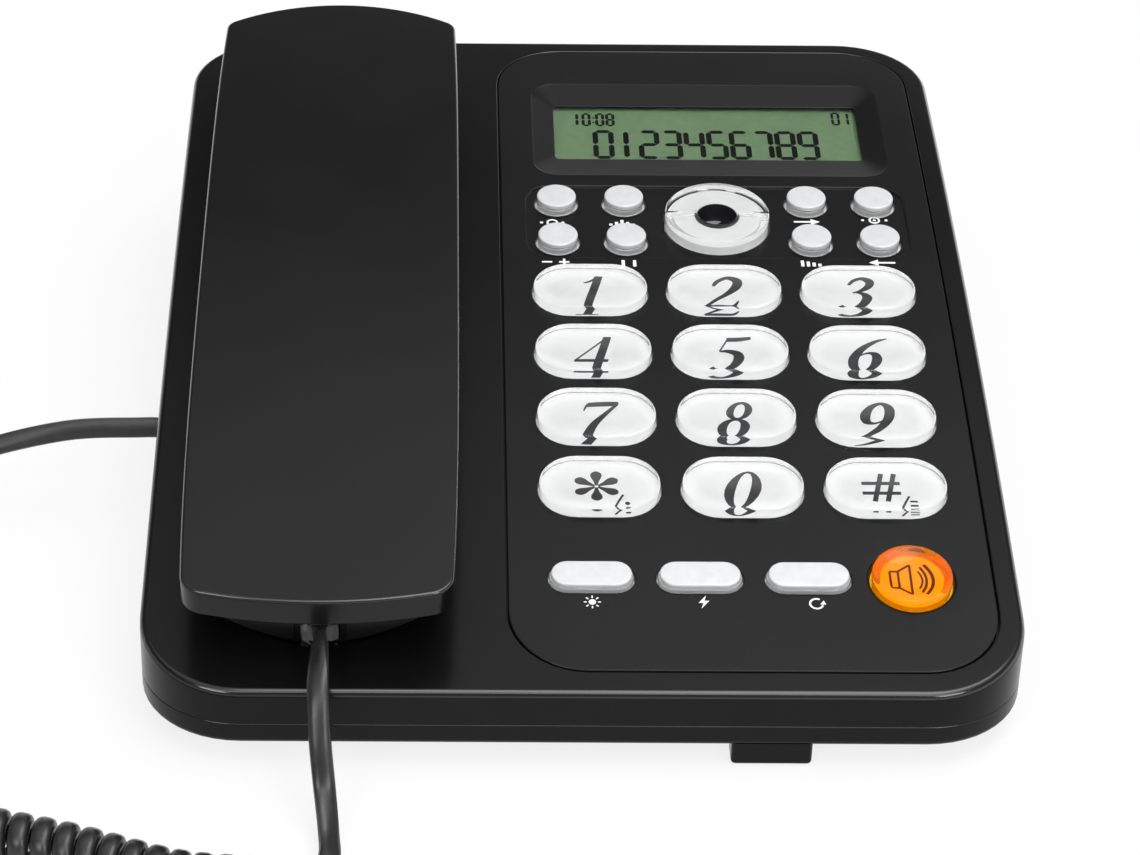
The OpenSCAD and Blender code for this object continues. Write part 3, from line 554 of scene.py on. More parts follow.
print("wires ready")

# %% [markdown]
# ## Black mouldings
#
# The case, the fascia and the handset are black plastic from steel moulds. Case and fascia come from a
# mould with a fine spark texture, which blurs reflections; the handset is polished a little more. A
# plain dark colour would look like a hole, so each has fine grain in its bump, a slow change of gloss,
# as from handling, and a slight change of tone. The texture of a mould stops short at its edges, so the
# rounded edges, found by the slope of their surface, carry a clear gloss of their own.

# %% Mix the black plastics
def black_plastic(name, tone, rough, grain_scale, grain_depth, gloss, edge_gloss, edge_top=0.88):
    material, start, place = new_finish(name)
    facing = start.node("ShaderNodeSeparateXYZ", None, {0: start.node("ShaderNodeTexCoord", out=1)}, 2)
    edge = facing.between(0.2, 0.35) * (1.0 - facing.between(edge_top, edge_top + 0.07))
    slow = grain(start, place, 35.0)
    fine = grain(start, place, grain_scale, 2.0)
    surface(start,
            Base_Color=(0.7 * slow + 0.3 * fine).between(0.3, 0.7).tint(
                (tone * 0.8, tone * 0.8, tone * 0.84, 1), (tone * 1.2, tone * 1.2, tone * 1.22, 1)),
            Roughness=rough - 0.04 + 0.08 * slow,
            Normal=bumped(start, fine, grain_depth, 0.00006),
            Coat_Weight=edge * edge_gloss,
            Coat_Roughness=0.12,
            Specular_IOR_Level=gloss)
    return material


case_black = black_plastic("case_black", 0.004, 0.24, 2600.0, 0.2, 0.16, 0.9)
fascia_black = black_plastic("fascia_black", 0.0062, 0.26, 3200.0, 0.16, 0.18, 0.9, 0.55)
handset_black = black_plastic("handset_black", 0.004, 0.22, 1800.0, 0.08, 0.28, 0.75)
print("black plastics:", case_black.name, fascia_black.name, handset_black.name)


# %% [markdown]
# ## Cable and rubber
#
# The cable's jacket is soft vinyl: paler than the case, with a broad sheen and a faint waviness from
# the wires inside. The feet are matt rubber.

# %% Mix the vinyl and the rubber
def soft_black(name, tone, rough, wave_scale, depth, gloss):
    material, start, place = new_finish(name)
    wave = grain(start, place, wave_scale)
    dust = grain(start, place, 900.0, 4.0)
    surface(start,
            Base_Color=dust.between(0.35, 0.75).tint(grey(tone), grey(tone * 1.7)),
            Roughness=rough + 0.12 * wave,
            Normal=bumped(start, wave + 0.3 * dust, depth, 0.0002),
            Specular_IOR_Level=gloss)
    return material


cable_vinyl = soft_black("cable_vinyl", 0.010, 0.26, 220.0, 0.12, 0.5)
foot_rubber = soft_black("foot_rubber", 0.018, 0.7, 500.0, 0.4, 0.3)
print("soft blacks:", cable_vinyl.name, foot_rubber.name)

# %% [markdown]
# ## The upper shell
#
# One moulding makes the sides and the top: walls that rise straight from the parting line, a rounded
# edge that catches the light, the seat of the fascia, and the tub with two wells in which the handset
# lies. A boolean of solids would do, but its edges would be sharp. The rings below give each edge its
# own radius, and the inside is there too, so the wall has its thickness.

# %% Outlines of the upper shell
WALL, EDGE_R, EASE = 2.5, 1.4, 0.3
TOP_T, LEDGE_W, LEDGE_DROP, GROOVE = 3.0, 3.0, 1.8, 0.35
case_plan = rounded(BODY_W, BODY_D, CORNER_R, steps=12, fill=(22, 30))
fascia_plan = rounded(99.8, 220.5, 16.0, steps=10, fill=(12, 32))


def case_ring(inset, z=None, drop=0.0):
    """The case outline at a height, or at a drop below the crown."""
    flat = [(x, y) for x, y, _, _ in grown(case_plan, -inset)]
    return [(x, y, crown_height(y) - drop if z is None else z) for x, y in flat]


def along_crown(y):
    """How far along the crown a point of the fascia's flat plan lies."""
    return FASCIA_S + CROWN_R * math.asin(y / CROWN_R)


def fascia_ring(grow, h):
    return [on_crown(FASCIA_X + x, along_crown(y), h) for x, y, _, _ in grown(fascia_plan, grow)]


def under_crown(ring, drop):
    """The same ring, put at an even depth under the crown."""
    return [(x, y, crown_height(y) - drop) for x, y, _ in ring]


def crown_sheet(skin, outer, holes, drop, step=7.0):
    """A sheet at an even depth under the crown, bounded by rings."""
    skin.sheet(outer, holes, lambda x, y: (x, y, crown_height(y) - drop), step)


print("case outline:", len(case_plan), "points")

# %% The tub under the handset
CUP_PITCH, TROUGH_W, WELL_R, WELL_EASE, TROUGH_Z, WELL_Z = 155.0, 40.0, 23.8, 1.2, -5.0, -10.3
PLUNGER_Y, PLUNGER_HOLE = 38.0, 4.35


def tub_runs(painted_glow_sockets):
    """The tub's sides, the outer arcs of its wells and their inner arcs, in the handset's frame."""
    a, r = TROUGH_W / 2 + painted_glow_sockets, WELL_R + painted_glow_sockets
    phi = math.acos(a / r)
    reach = CUP_PITCH / 2
    turn = reach - r * math.sin(phi)
    right_side = side((a, -turn, 1, 0), (a, turn, 1, 0), 20)
    left_side = side((-a, turn, -1, 0), (-a, -turn, -1, 0), 20)
    rear = arc(0, reach, r, -phi, math.pi + phi, 36)
    front = arc(0, -reach, r, math.pi - phi, math.tau + phi, 36)
    rear_in = arc(0, reach, r, math.tau - phi, math.pi + phi, 14)
    front_in = arc(0, -reach, r, math.pi - phi, phi, 14)
    return right_side, rear, left_side, front, rear_in, front_in


def in_handset(points, z):
    """Points of a plan in the handset's frame, all at one height."""
    return [handset_seat @ Vector((p[0], p[1], z)) for p in points]


def tub_ring(painted_glow_sockets, drop):
    """The tub's outline at a drop below the crown."""
    right_side, rear, left_side, front, _, _ = tub_runs(painted_glow_sockets)
    return [handset_seat @ Vector((x, y, math.sqrt(CROWN_R ** 2 - y * y) - CROWN_R - drop))
            for x, y, _, _ in right_side + rear + left_side + front]


def tub(skin, painted_glow_sockets, top_rings, trough_z, well_z):
    """Walls, trough floor and wells, hung from rings at the top; returns the rim of the plunger's hole."""
    right_side, rear, left_side, front, rear_in, front_in = tub_runs(painted_glow_sockets)
    skin.band(top_rings + [in_handset(right_side + rear + left_side + front, trough_z)])
    floor = right_side + rear_in + left_side + front_in
    hole = moved(circle(PLUNGER_HOLE, 28), 0, PLUNGER_Y)
    skin.sheet(floor, [hole], lambda x, y: handset_seat @ Vector((x, y, trough_z)), 7.0)
    for outer, inner, y0 in ((rear, rear_in, CUP_PITCH / 2), (front, front_in, -CUP_PITCH / 2)):
        well = outer + inner[::-1][1:-1]
        stack = [in_handset(well, trough_z)]
        for inset, drop in easing(WELL_EASE):
            part = 1 - inset / WELL_R
            stack.append(in_handset([(x * part, y0 + (y - y0) * part) for x, y, _, _ in well], well_z + drop))
        skin.band(stack)
        skin.cap(stack[-1])
    return in_handset(hole, trough_z)


print("tub runs:", [len(r) for r in tub_runs(0)])

# %% Build the upper shell
shell = Skin()
walls = [case_ring(WALL, PART_Z)]
walls += [case_ring(inset, PART_Z + drop) for inset, drop in reversed(easing(EASE))]
walls += [case_ring(inset, drop=drop) for inset, drop in easing(EDGE_R, 6)]
shell.band(walls)
shell.band([case_ring(WALL, PART_Z), case_ring(WALL, drop=TOP_T)])

lip = [fascia_ring(GROOVE + inset, -drop) for inset, drop in reversed(easing(EASE, 3))]
ledge = [fascia_ring(GROOVE, -LEDGE_DROP), fascia_ring(-LEDGE_W, -LEDGE_DROP),
         under_crown(fascia_ring(-LEDGE_W, -TOP_T), TOP_T)]
shell.band(lip + ledge)

TUB_WALL, TUB_LIP = 2.4, 1.0
tub_lip = [tub_ring(inset, drop) for inset, drop in reversed(easing(TUB_LIP))]
hole_top = tub(shell, 0.0, tub_lip, TROUGH_Z, WELL_Z)
inner_lip = [under_crown(tub_ring(TUB_WALL, TOP_T), TOP_T)]
hole_low = tub(shell, TUB_WALL, inner_lip, TROUGH_Z - TUB_WALL, WELL_Z - TUB_WALL)
shell.band([hole_top, hole_low])

crown_sheet(shell, walls[-1], [lip[0], tub_lip[0]], 0.0)
crown_sheet(shell, case_ring(WALL, drop=TOP_T), [ledge[-1], inner_lip[0]], TOP_T)
upper = moulded("case_top", shell)
print("upper shell:", len(upper.data.polygons), "faces")


# %% [markdown]
# The two sockets in the walls are cut with small flared blocks, because there the wall is flat and a
# boolean leaves clean edges. The cut is applied at once, so no modifier is left to slow the render.

# %% Cut the cord socket and the line socket
def flared_block(w, h, depth, flare):
    """A block whose mouth widens, its mouth in the plane y = 0 and its body towards +y."""
    past = flare + 1.0
    sizes = [(w + 2 * past, h + 2 * past, -1.0), (w, h, flare), (w, h, depth)]
    corners = ((-1, -1), (1, -1), (1, 1), (-1, 1))
    return Skin().solid([[(sx * a / 2, y, sz * b / 2) for sx, sz in corners] for a, b, y in sizes])


def cut(piece, skin, place):
    """Takes a skin's shape away from a piece, for good."""
    for k, p in enumerate(skin.points):
        skin.points[k] = place @ p
    cutter = moulded("cutter", skin, even=False)
    knife = piece.modifiers.new("cut", "BOOLEAN")
    knife.object, knife.operation, knife.solver = cutter, "DIFFERENCE", "EXACT"
    knife.use_hole_tolerant = True
    while piece.modifiers[0] != knife:
        piece.modifiers.move(piece.modifiers.find("cut"), 0)
    for other in piece.modifiers[1:]:
        other.show_viewport = False
    result = bpy.data.meshes.new_from_object(piece.evaluated_get(bpy.context.evaluated_depsgraph_get()))
    piece.modifiers.remove(knife)
    for other in piece.modifiers:
        other.show_viewport = True
    piece.data = result
    bpy.data.objects.remove(cutter)
    bm = bmesh.new()
    bm.from_mesh(result)
    eased_normals(bm)
    bm.to_mesh(result)
    bm.free()


SOCKET_DEPTH, SOCKET_FLARE = 5.0, 0.4
LINE_JACK = (40, BODY_D / 2, 22)
left_mouth = Matrix.Translation(BASE_JACK) @ Matrix.Rotation(-math.pi / 2, 4, "Z")
rear_mouth = Matrix.Translation(LINE_JACK) @ Matrix.Rotation(math.pi, 4, "Z")
for width, high, mouth in ((8.4, 7.0, left_mouth), (14.0, 11.8, rear_mouth)):
    cut(upper, flared_block(width, high, SOCKET_DEPTH, SOCKET_FLARE), mouth)
dress(upper, "base", case_black, ["upper_shell"])
print("sockets cut:", len(upper.data.polygons), "faces")

# %% [markdown]
# ## The lower shell
#
# The tray under the case shows as a dark band below the parting line, with a rounded lower edge and a
# small tab at the front. It is made as the upper shell is, from rings of the same outline, so that the
# parting line stays even all round.

# %% Build the lower shell
FOOT_H, FLOOR_Z, LOWER_R, SEAM = 5.2, 8.2, 1.6, 0.02
FEET = [(-70, -92), (70, -92), (-70, 92), (70, 92)]
SCREWS = [(-78, -104), (-78, 104), (84.5, -60), (84.5, 80)]
FOOT_POCKET, SCREW_BORE = (7.15, 32, 1.0), (3.5, 24, 1.9)
SPEAKER_X, SPEAKER_Y, SLOT_PITCH, SLOT_W, SLOT_LEN, SLOT_LESS = -52.9, -8.0, 7, 3.0, 36, 5
TAB_X, TAB_Y, TAB_Z, TAB_EASE = 38, -111.7, 0.4, 0.9
TRAY_STEP = 12.0
tray = Skin()
tray_rings = [case_ring(WALL, FLOOR_Z), case_ring(WALL, PART_Z - SEAM)]
tray_rings += [case_ring(inset, PART_Z - SEAM - drop) for inset, drop in reversed(easing(EASE))]
tray_rings += [case_ring(inset, FOOT_H + drop) for inset, drop in easing(LOWER_R)]
tray.band(tray_rings)
slots = [moved(capsule(SLOT_LEN - SLOT_LESS * abs(i), SLOT_W, 8, 4), SPEAKER_X, SPEAKER_Y + SLOT_PITCH * i)
         for i in range(-2, 3)]
blind = [(moved(circle(r, steps), x, y), depth) for places, (r, steps, depth) in
         ((FEET, FOOT_POCKET), (SCREWS, SCREW_BORE)) for x, y in places]


def level(outline, z):
    return [(x, y, z) for x, y, _, _ in outline]


tray.sheet(tray_rings[-1], slots + [hole for hole, _ in blind], lambda x, y: (x, y, FOOT_H), TRAY_STEP)
tray.sheet(tray_rings[0], slots, lambda x, y: (x, y, FLOOR_Z), TRAY_STEP)
for slot in slots:
    tray.band([level(slot, FOOT_H), level(slot, FLOOR_Z)])
for hole, depth in blind:
    tray.band([level(hole, FOOT_H), level(hole, FOOT_H + depth)])
    tray.cap(level(hole, FOOT_H + depth))

tab = moved(rounded(16.4, 6.2, 1.0, steps=4), TAB_X, TAB_Y)
tab_rings = [level(grown(tab, -inset), TAB_Z + drop) for inset, drop in reversed(easing(TAB_EASE))]
tray.solid(tab_rings + [level(tab, FOOT_H + 0.6)])
lower = dress(moulded("case_tray", tray), "base", case_black, ["lower_shell"])
print("lower shell:", len(lower.data.polygons), "faces")

# %% [markdown]
# ## The keypad fascia
#
# A thin panel follows the crown and carries the keys. It has a slanted frame round the display, a
# shallow band round the menu keys, and a hole with an eased lip for each key. Cutting 25 holes by
# booleans is slow and leaves ragged shading, so the holes are loops of one evenly filled sheet, and a
# short band of faces leads from each loop down through the panel.

# %% Places of the keys
KEY_PITCH_X, KEY_PITCH_S, KEY_S, MENU_S, MENU_PITCH, FUNC_S = 30.2, 21.9, 123.5, 151.2, 15.4, 31.6
MENU_X, FUNC_X, SPEAKER_KEY_X = (-37, -21.3, 21.3, 37), (-32.7, -10.4, 11.9), 33.2
KEY_GAP, FASCIA_T, BAND_DIP = 0.3, 1.75, 0.6
NUMBER_NAMES = ["key_%s" % sign for sign in (*range(1, 10), "star", 0, "hash")]
number_places = {name: ((k % 3 - 1) * KEY_PITCH_X, KEY_S - k // 3 * KEY_PITCH_S)
                 for k, name in enumerate(NUMBER_NAMES)}
menu_places = {"menu_key_%d" % (k + 1): (MENU_X[k % 4], MENU_S + (0.5 - k // 4) * MENU_PITCH) for k in range(8)}
func_places = {"func_key_%d" % (k + 1): (x, FUNC_S) for k, x in enumerate(FUNC_X)}
print("keys:", len(number_places) + len(menu_places) + len(func_places) + 3)

# %% Build the fascia
NUMBER_KEY, FUNC_KEY = (25.6, 16.2), (17.4, 7.6)
ROUND_R, RING_R, RING_HOLE, SPEAKER_KEY_R = 4.8, 12.05, 4.6, 8.3
DISPLAY_S, VIEW_SHIFT, DISPLAY_DIP, LENS_TOP = 190.8, 0.6, 1.6, -2.0
BAND, RECESS, VIEW, BLOCK = (88.0, 28.4, 6.0), (83.4, 40.5, 5.5), (73.4, 24.0, 1.2), (88.4, 44.5, 2.0)
LIP, SPEAKER_LIP, BAND_LIP, BAND_FOOT, RECESS_LIP, BLOCK_GAP = 0.3, 0.9, 0.45, 0.14, 0.6, 0.02
panel = Skin()


def panel_ring(outline, h):
    return [on_crown(FASCIA_X + x, s, h) for x, s, _, _ in outline]


def panel_sheet(outer, holes, h, step=6.0):
    panel.sheet(outer, holes, lambda x, s: on_crown(FASCIA_X + x, s, h), step)


def lip_rings(outline, r, h, steps=4):
    """A rounded edge from a surface at h down into an outline."""
    return [panel_ring(grown(outline, inset), h - drop) for inset, drop in reversed(easing(r, steps))]


def key_holes(places, outline):
    return [moved(outline, x, s) for x, s in places.values()]


number_hole, func_hole = ([size + 2 * KEY_GAP for size in key] for key in (NUMBER_KEY, FUNC_KEY))
top_holes = key_holes(number_places, capsule(*number_hole)) + key_holes(func_places, capsule(*func_hole, 10, 4))
top_lips = [LIP] * len(top_holes) + [SPEAKER_LIP]
top_holes.append(moved(circle(SPEAKER_KEY_R + KEY_GAP), SPEAKER_KEY_X, FUNC_S))
band_holes = key_holes(menu_places, circle(ROUND_R + KEY_GAP, 32))
band_holes.append(moved(circle(RING_R + KEY_GAP, 56), 0, MENU_S))
band_edge = moved(rounded(*BAND, fill=(12, 3)), 0, MENU_S)
recess_edge = moved(rounded(*RECESS, fill=(12, 4)), 0, DISPLAY_S)
view_edge = moved(rounded(*VIEW, fill=(12, 4)), 0, DISPLAY_S + VIEW_SHIFT)
block_edge = moved(rounded(*BLOCK, fill=(12, 4)), 0, DISPLAY_S)
panel_edge = [(x, along_crown(y), nx, ny) for x, y, nx, ny in fascia_plan]

edge_rings = [panel_ring(grown(panel_edge, -inset), -drop) for inset, drop in reversed(easing(EASE))]
panel.band(edge_rings + [panel_ring(panel_edge, -FASCIA_T)])
panel_sheet(grown(panel_edge, -EASE), [grown(h, lip) for h, lip in zip(top_holes, top_lips)]
            + [grown(band_edge, BAND_LIP), grown(recess_edge, RECESS_LIP)], 0.0)
panel_sheet(panel_edge, top_holes + band_holes + [block_edge], -FASCIA_T)
for outline, lip in zip(top_holes, top_lips):
    panel.band(lip_rings(outline, lip, 0.0, 3) + [panel_ring(outline, -FASCIA_T)])

foot_rings = [panel_ring(grown(band_edge, -inset), drop - BAND_DIP) for inset, drop in easing(BAND_FOOT)]
panel.band(lip_rings(band_edge, BAND_LIP, 0.0) + foot_rings)
panel_sheet(grown(band_edge, -BAND_FOOT), [grown(h, LIP) for h in band_holes], -BAND_DIP)
for outline in band_holes:
    panel.band(lip_rings(outline, LIP, -BAND_DIP, 3) + [panel_ring(outline, -FASCIA_T)])

RECESS_DROP, VIEW_LIP = 0.22, ((0.3, 0.06), (0.08, 0), (0, -0.1))
slant = [panel_ring(grown(recess_edge, RECESS_LIP - RECESS_LIP * t), -RECESS_DROP * t * t)
         for t in (0, 0.35, 0.7, 1)]
slant += [panel_ring(grown(view_edge, out), rise - DISPLAY_DIP) for out, rise in VIEW_LIP]
slant += [panel_ring(edge, LENS_TOP + BLOCK_GAP) for edge in (view_edge, block_edge)]
panel.band(slant + [panel_ring(block_edge, -FASCIA_T)])
fascia = dress(moulded("keypad_fascia", panel), "base", fascia_black, ["fascia"])
print("fascia:", len(fascia.data.polygons), "faces")

# %% [markdown]
# ## Finishes of the keys and the display
#
# The keys are moulded in clear acrylic over a white base, with the digit printed between the two, so
# the thick edge of the key bends the view of the digit. A picture of that would only work from one
# side. Here the cap is a real clear solid and the print lies inside it, and the bending comes from the
# shader's index of refraction.

# %% Mix the clear and printed finishes
ACRYLIC_IOR = 1.49


def clear_plastic(name, colour, rough, haze, ior=ACRYLIC_IOR):
    material, start, place = new_finish(name)
    smear = grain(start, place, 160.0)
    surface(start, Base_Color=smear.between(0.2, 0.8).tint(colour, tuple(min(1.0, c * 1.02) for c in colour)),
            Roughness=rough + haze * smear, IOR=ior, Transmission_Weight=1.0)
    return material


def printed(name, dark, light, rough, painted_glow=0.0, gloss=0.5):
    """Opaque ink or pigmented plastic, slightly uneven; a painted_glow above 0 adds emission, which is painted
    light.
    """
    material, start, place = new_finish(name)
    cloud = grain(start, place, 420.0, 4.0)
    tone = cloud.between(0.3, 0.7).tint(dark, light)
    # The emission here is painted light: the piece glows though it is no lamp.
    painted_glow_sockets = {"Emission_Color": tone, "Emission_Strength": painted_glow} if painted_glow else {}
    surface(start, Base_Color=tone, Roughness=rough + 0.1 * cloud, Normal=bumped(start, cloud, 0.06, 0.00005),
            Specular_IOR_Level=gloss, **painted_glow_sockets)
    return material


clear_acrylic = clear_plastic("clear_acrylic", (0.985, 0.99, 0.99, 1), 0.008, 0.02)
orange_acrylic = clear_plastic("orange_acrylic", (0.92, 0.36, 0.025, 1), 0.004, 0.012, 1.26)
plug_clear = clear_plastic("plug_clear", (0.93, 0.95, 0.97, 1), 0.01, 0.02)
window_clear = clear_plastic("window_clear", (0.95, 0.98, 0.95, 1), 0.01, 0.02, 1.12)
# The white base glows a little: painted light that brightens the keys under their clear caps.
base_white = printed("base_white", (0.87, 0.88, 0.88, 1), (0.92, 0.92, 0.92, 1), 0.35, 0.16)
pearl_white = printed("pearl_white", (0.55, 0.56, 0.57, 1), (0.62, 0.62, 0.63, 1), 0.1, gloss=0.6)
# The orange base glows too: painted light under the orange cap.
base_orange = printed("base_orange", (0.95, 0.66, 0.006, 1), (0.99, 0.73, 0.008, 1), 0.3, 0.2)
sign_ink = printed("sign_ink", (0.13, 0.016, 0.004, 1), (0.17, 0.022, 0.006, 1), 0.5)
digit_ink = printed("digit_ink", (0.018, 0.018, 0.02, 1), (0.035, 0.035, 0.04, 1), 0.5)
mark_white = printed("mark_white", (0.78, 0.78, 0.78, 1), (0.88, 0.88, 0.88, 1), 0.5)
display_green = printed("display_green", (0.125, 0.19, 0.108, 1), (0.15, 0.222, 0.128, 1), 0.4, gloss=0.15)
segment_ink = printed("segment_ink", (0.003, 0.004, 0.003, 1), (0.007, 0.009, 0.007, 1), 0.5, gloss=0.03)
print("clear finishes:", clear_acrylic.name, orange_acrylic.name, "and pearl tops:", pearl_white.name)


# %% [markdown]
# ## Number keys
#
# A number key is a clear capsule with a shallow dish in its face. Its white base starts just below the
# fascia's surface and carries the flange and the stem that press the mat. The cap is built from rings
# and closed by a fine sheet whose points sink into the dish.

# %% Build the clear caps and white bases
KEY_RISE, KEY_EASE, DISH = 2.2, 0.5, 0.7
PRINT_Z, FLANGE_TOP, FLANGE_T, FLANGE_W, DOME_TOP, STEM_GAP = -0.7, -2.0, 1.2, 1.0, -7.6, 1.6


def turned(seat, outline, profile, top=True):
    """A solid from (inset, z) pairs of one outline; its top may be left open."""
    rings = [[seat @ Vector((x - nx * inset, y - ny * inset, z)) for x, y, nx, ny in outline]
             for inset, z in profile]
    skin = Skin()
    skin.band(rings)
    for ring in (rings[0], rings[-1]) if top else rings[:1]:
        skin.cap(ring)
    return skin


def stem(seat, r, s):
    """The stem of a key; it ends above the mat, which is flatter than the crown."""
    low = DOME_TOP + (s - FASCIA_S) ** 2 / (2 * CROWN_R) + STEM_GAP
    return turned(seat, circle(r, 20), [(0.2, low), (0, low + 0.2), (0, FLANGE_TOP - FLANGE_T / 2)])


def cap_profile(top, r, steps):
    """The side of a clear piece, from just above the flange to a rounded edge at the top."""
    return [(0.06, FLANGE_TOP + 0.06)] + [(inset, top - drop) for inset, drop in easing(r, steps)]


def key_piece(name, part, skin, finish, replaces=()):
    return dress(moulded(name + part, skin), name, finish, replaces)


def white_base(name, seat, outline, s, stem_r, core_inset, core_top, finish=base_white):
    """Base inside the cap, flange under the fascia and stem, in one piece."""
    skin = turned(seat, outline, [(-FLANGE_W, FLANGE_TOP - FLANGE_T), (-FLANGE_W, FLANGE_TOP),
                                  (core_inset, FLANGE_TOP + 0.02), (core_inset, core_top)])
    skin.join(stem(seat, stem_r, s))
    key_piece(name, "_base", skin, finish, [name])


def number_cap(seat, outline):
    skin = turned(seat, outline, cap_profile(KEY_RISE, KEY_EASE, 6), top=False)
    half_w, half_d = (size / 2 - KEY_EASE for size in NUMBER_KEY)

    def dished(x, y):
        out = max(abs(x) - (half_w - half_d), 0.0)
        edge = min(1.0, math.hypot(out, y) / half_d)
        return seat @ Vector((x, y, KEY_RISE - DISH * (1 - edge ** 2) ** 2))

    skin.sheet(grown(outline, -KEY_EASE), [], dished, 1.0)
    return skin


key_seats = {}
number_outline = capsule(*NUMBER_KEY, steps=18, fill=10)
for name, (x, s) in number_places.items():
    key_seats[name] = seat_at(FASCIA_X + x, s)
    white_base(name, key_seats[name], number_outline, s, stem_r=2.5, core_inset=0.14, core_top=PRINT_Z)
    key_piece(name, "_cap", number_cap(key_seats[name], number_outline), clear_acrylic)
print("number keys:", len(number_places))

# %% [markdown]
# ## Digits
#
# The digits are bold italic figures with thick and thin strokes. A font file may not be read here, and
# the built-in letters are upright and plain, so each figure is drawn as pen strokes: points with a
# width, joined by a smooth curve and swept as a thin film of ink.

# %% Draw the figures as pen strokes
PEN = {
    "1": "10 80 16, 20 85 26, 31 99 20 / 31 99 70, 31 50 72, 31 2 72 / 12 1.5 16, 31 3 20, 50 1.5 "
         "16",
    "2": "5 72 30, 9 86 45, 24 97 45, 41 88 75, 43 70 85, 33 48 60, 17 26 40, 3 6 30 / 3 5.5 50, "
         "25 6 58, 46 6 50, 52 13 30, 55 24 12",
    "3": "7 78 30, 13 91 40, 26 97 45, 40 88 70, 40 73 70, 28 58 40, 17 53 15 / 22 55 20, 36 49 "
         "50, 44 34 85, 38 13 75, 22 3 40, 8 6 45, 3 12 40",
    "4": "40 98 20, 20 64 18, 2 30 20 / 0 29 40, 28 29 42, 55 29 40 / 40 99 66, 40 50 72, 40 0 72",
    "5": "13 93 55, 33 94 55, 52 98 40 / 15 95 16, 11 76 16, 8 60 16 / 8 59 20, 22 60 50, 38 52 "
         "75, 43 34 88, 37 15 70, 22 3.5 35, 9 5 45, 2 11 45",
    "6": "52 98.5 12, 34 90 40, 16 70 70, 7 42 85, 10 16 75, 24 3 35, 39 12 60, 45 32 85, 40 52 "
         "65, 28 57 30, 16 50 20, 10 40 15",
    "7": "5 90 55, 28 92 60, 53 93 55 / 5 93 20, 3 84 18, 2 74 12 / 52 93 30, 38 66 45, 26 36 70, "
         "20 0 85",
}
PEN_UNITS = (100, 100, 1000)
INK_T, INK_LIFT, INK_STEP = 0.03, 0.01, 0.006
FIGURE_W, FIGURE_H, FIGURE_X, FIGURE_Y, SLANT = 13.6, 12.4, 0.27, -0.7, 0.22


def pen_strokes(text):
    """Strokes of points: x and y in hundredths, half width in thousandths of a figure's height."""
    return [[tuple(float(v) / unit for v, unit in zip(point.split(), PEN_UNITS)) for point in stroke.split(",")]
            for stroke in text.split("/")]


def oval(cx, cy, rx, ry, thin, thick, count=20):
    """A closed stroke that is thick at its sides."""
    turns = [math.tau * k / count for k in range(count)]
    return [(cx + rx * math.cos(a), cy + ry * math.sin(a), thin + (thick - thin) * math.cos(a) ** 2)
            for a in turns]


def ink_stroke(skin, points, place, z, loop=False):
    """A pen stroke as a thin bar: points are (x, y, half width) on the print."""
    flat = points if loop else smooth_run(points, 6 * (len(points) - 1))
    count = len(flat)
    rings = []
    for k, (x, y, w) in enumerate(flat):
        near = ((k + 1) % count, k - 1) if loop else (min(k + 1, count - 1), max(k - 1, 0))
        ahead, behind = (flat[n] for n in near)
        along = Vector((ahead[0] - behind[0], ahead[1] - behind[1])).normalized()
        sx, sy = -along.y * w, along.x * w
        rings.append([place(x + sx, y + sy, z), place(x - sx, y - sy, z),
                      place(x - sx, y - sy, z + INK_T), place(x + sx, y + sy, z + INK_T)])
    skin.band(rings, loop)
    if not loop:
        skin.cap(rings[0])
        skin.cap(rings[-1])


def ink_shape(skin, outline, place, z):
    """A flat filled shape, as a thin film."""
    skin.solid([[place(p[0], p[1], high) for p in outline] for high in (z, z + INK_T)])


def ink_z(k=0):
    """Height of a key's kth stroke; each lies a little higher, so that crossing strokes don't share points."""
    return PRINT_Z + INK_LIFT + INK_STEP * k


def on_print(seat, slant=SLANT):
    """Places a figure's own coordinates on a key's print, slanted and centred."""
    return lambda x, y, z: seat @ Vector(((x - FIGURE_X + slant * (y - 0.5)) * FIGURE_W,
                                          (y - 0.5) * FIGURE_H + FIGURE_Y, z))


figures = {figure: pen_strokes(text) for figure, text in PEN.items()}
figures["9"] = [[(0.52 - x, 1 - y, w) for x, y, w in stroke] for stroke in figures["6"]]
figures["0"] = [oval(0.27, 0.5, 0.20, 0.46, 0.022, 0.085)]
figures["8"] = [oval(0.27, 0.755, 0.145, 0.215, 0.03, 0.062), oval(0.26, 0.275, 0.18, 0.245, 0.03, 0.078)]
for figure in "1234567890":
    skin, name = Skin(), "key_" + figure
    for k, stroke in enumerate(figures[figure]):
        ink_stroke(skin, stroke, on_print(key_seats[name]), ink_z(k), figure in "08")
    key_piece(name, "_figure", skin, digit_ink)
print("figures drawn:", len(figures))

# %% Draw the star and the square mark
STAR_X, STAR_Y = 0.22, 0.58
PETAL = ((0.03, 0.02), (0.14, 0.045), (0.25, 0.085), (0.33, 0.08), (0.38, 0.02))
star, hash_mark = Skin(), Skin()
star_place, hash_place = (on_print(key_seats[name], slant=0.0) for name in ("key_star", "key_hash"))
for k in range(6):
    turn = math.radians(90 + 60 * k)
    petal = [(STAR_X + r * math.cos(turn), STAR_Y + r * math.sin(turn), w) for r, w in PETAL]
    ink_stroke(star, petal, star_place, ink_z(k))
ink_stroke(star, pen_strokes("63 36 18, 56 20 18, 50 6 18")[0], star_place, ink_z())
ink_shape(star, moved(circle(0.04, 12), 0.69, 0.14), star_place, ink_z())
key_piece("key_star", "_figure", star, digit_ink)

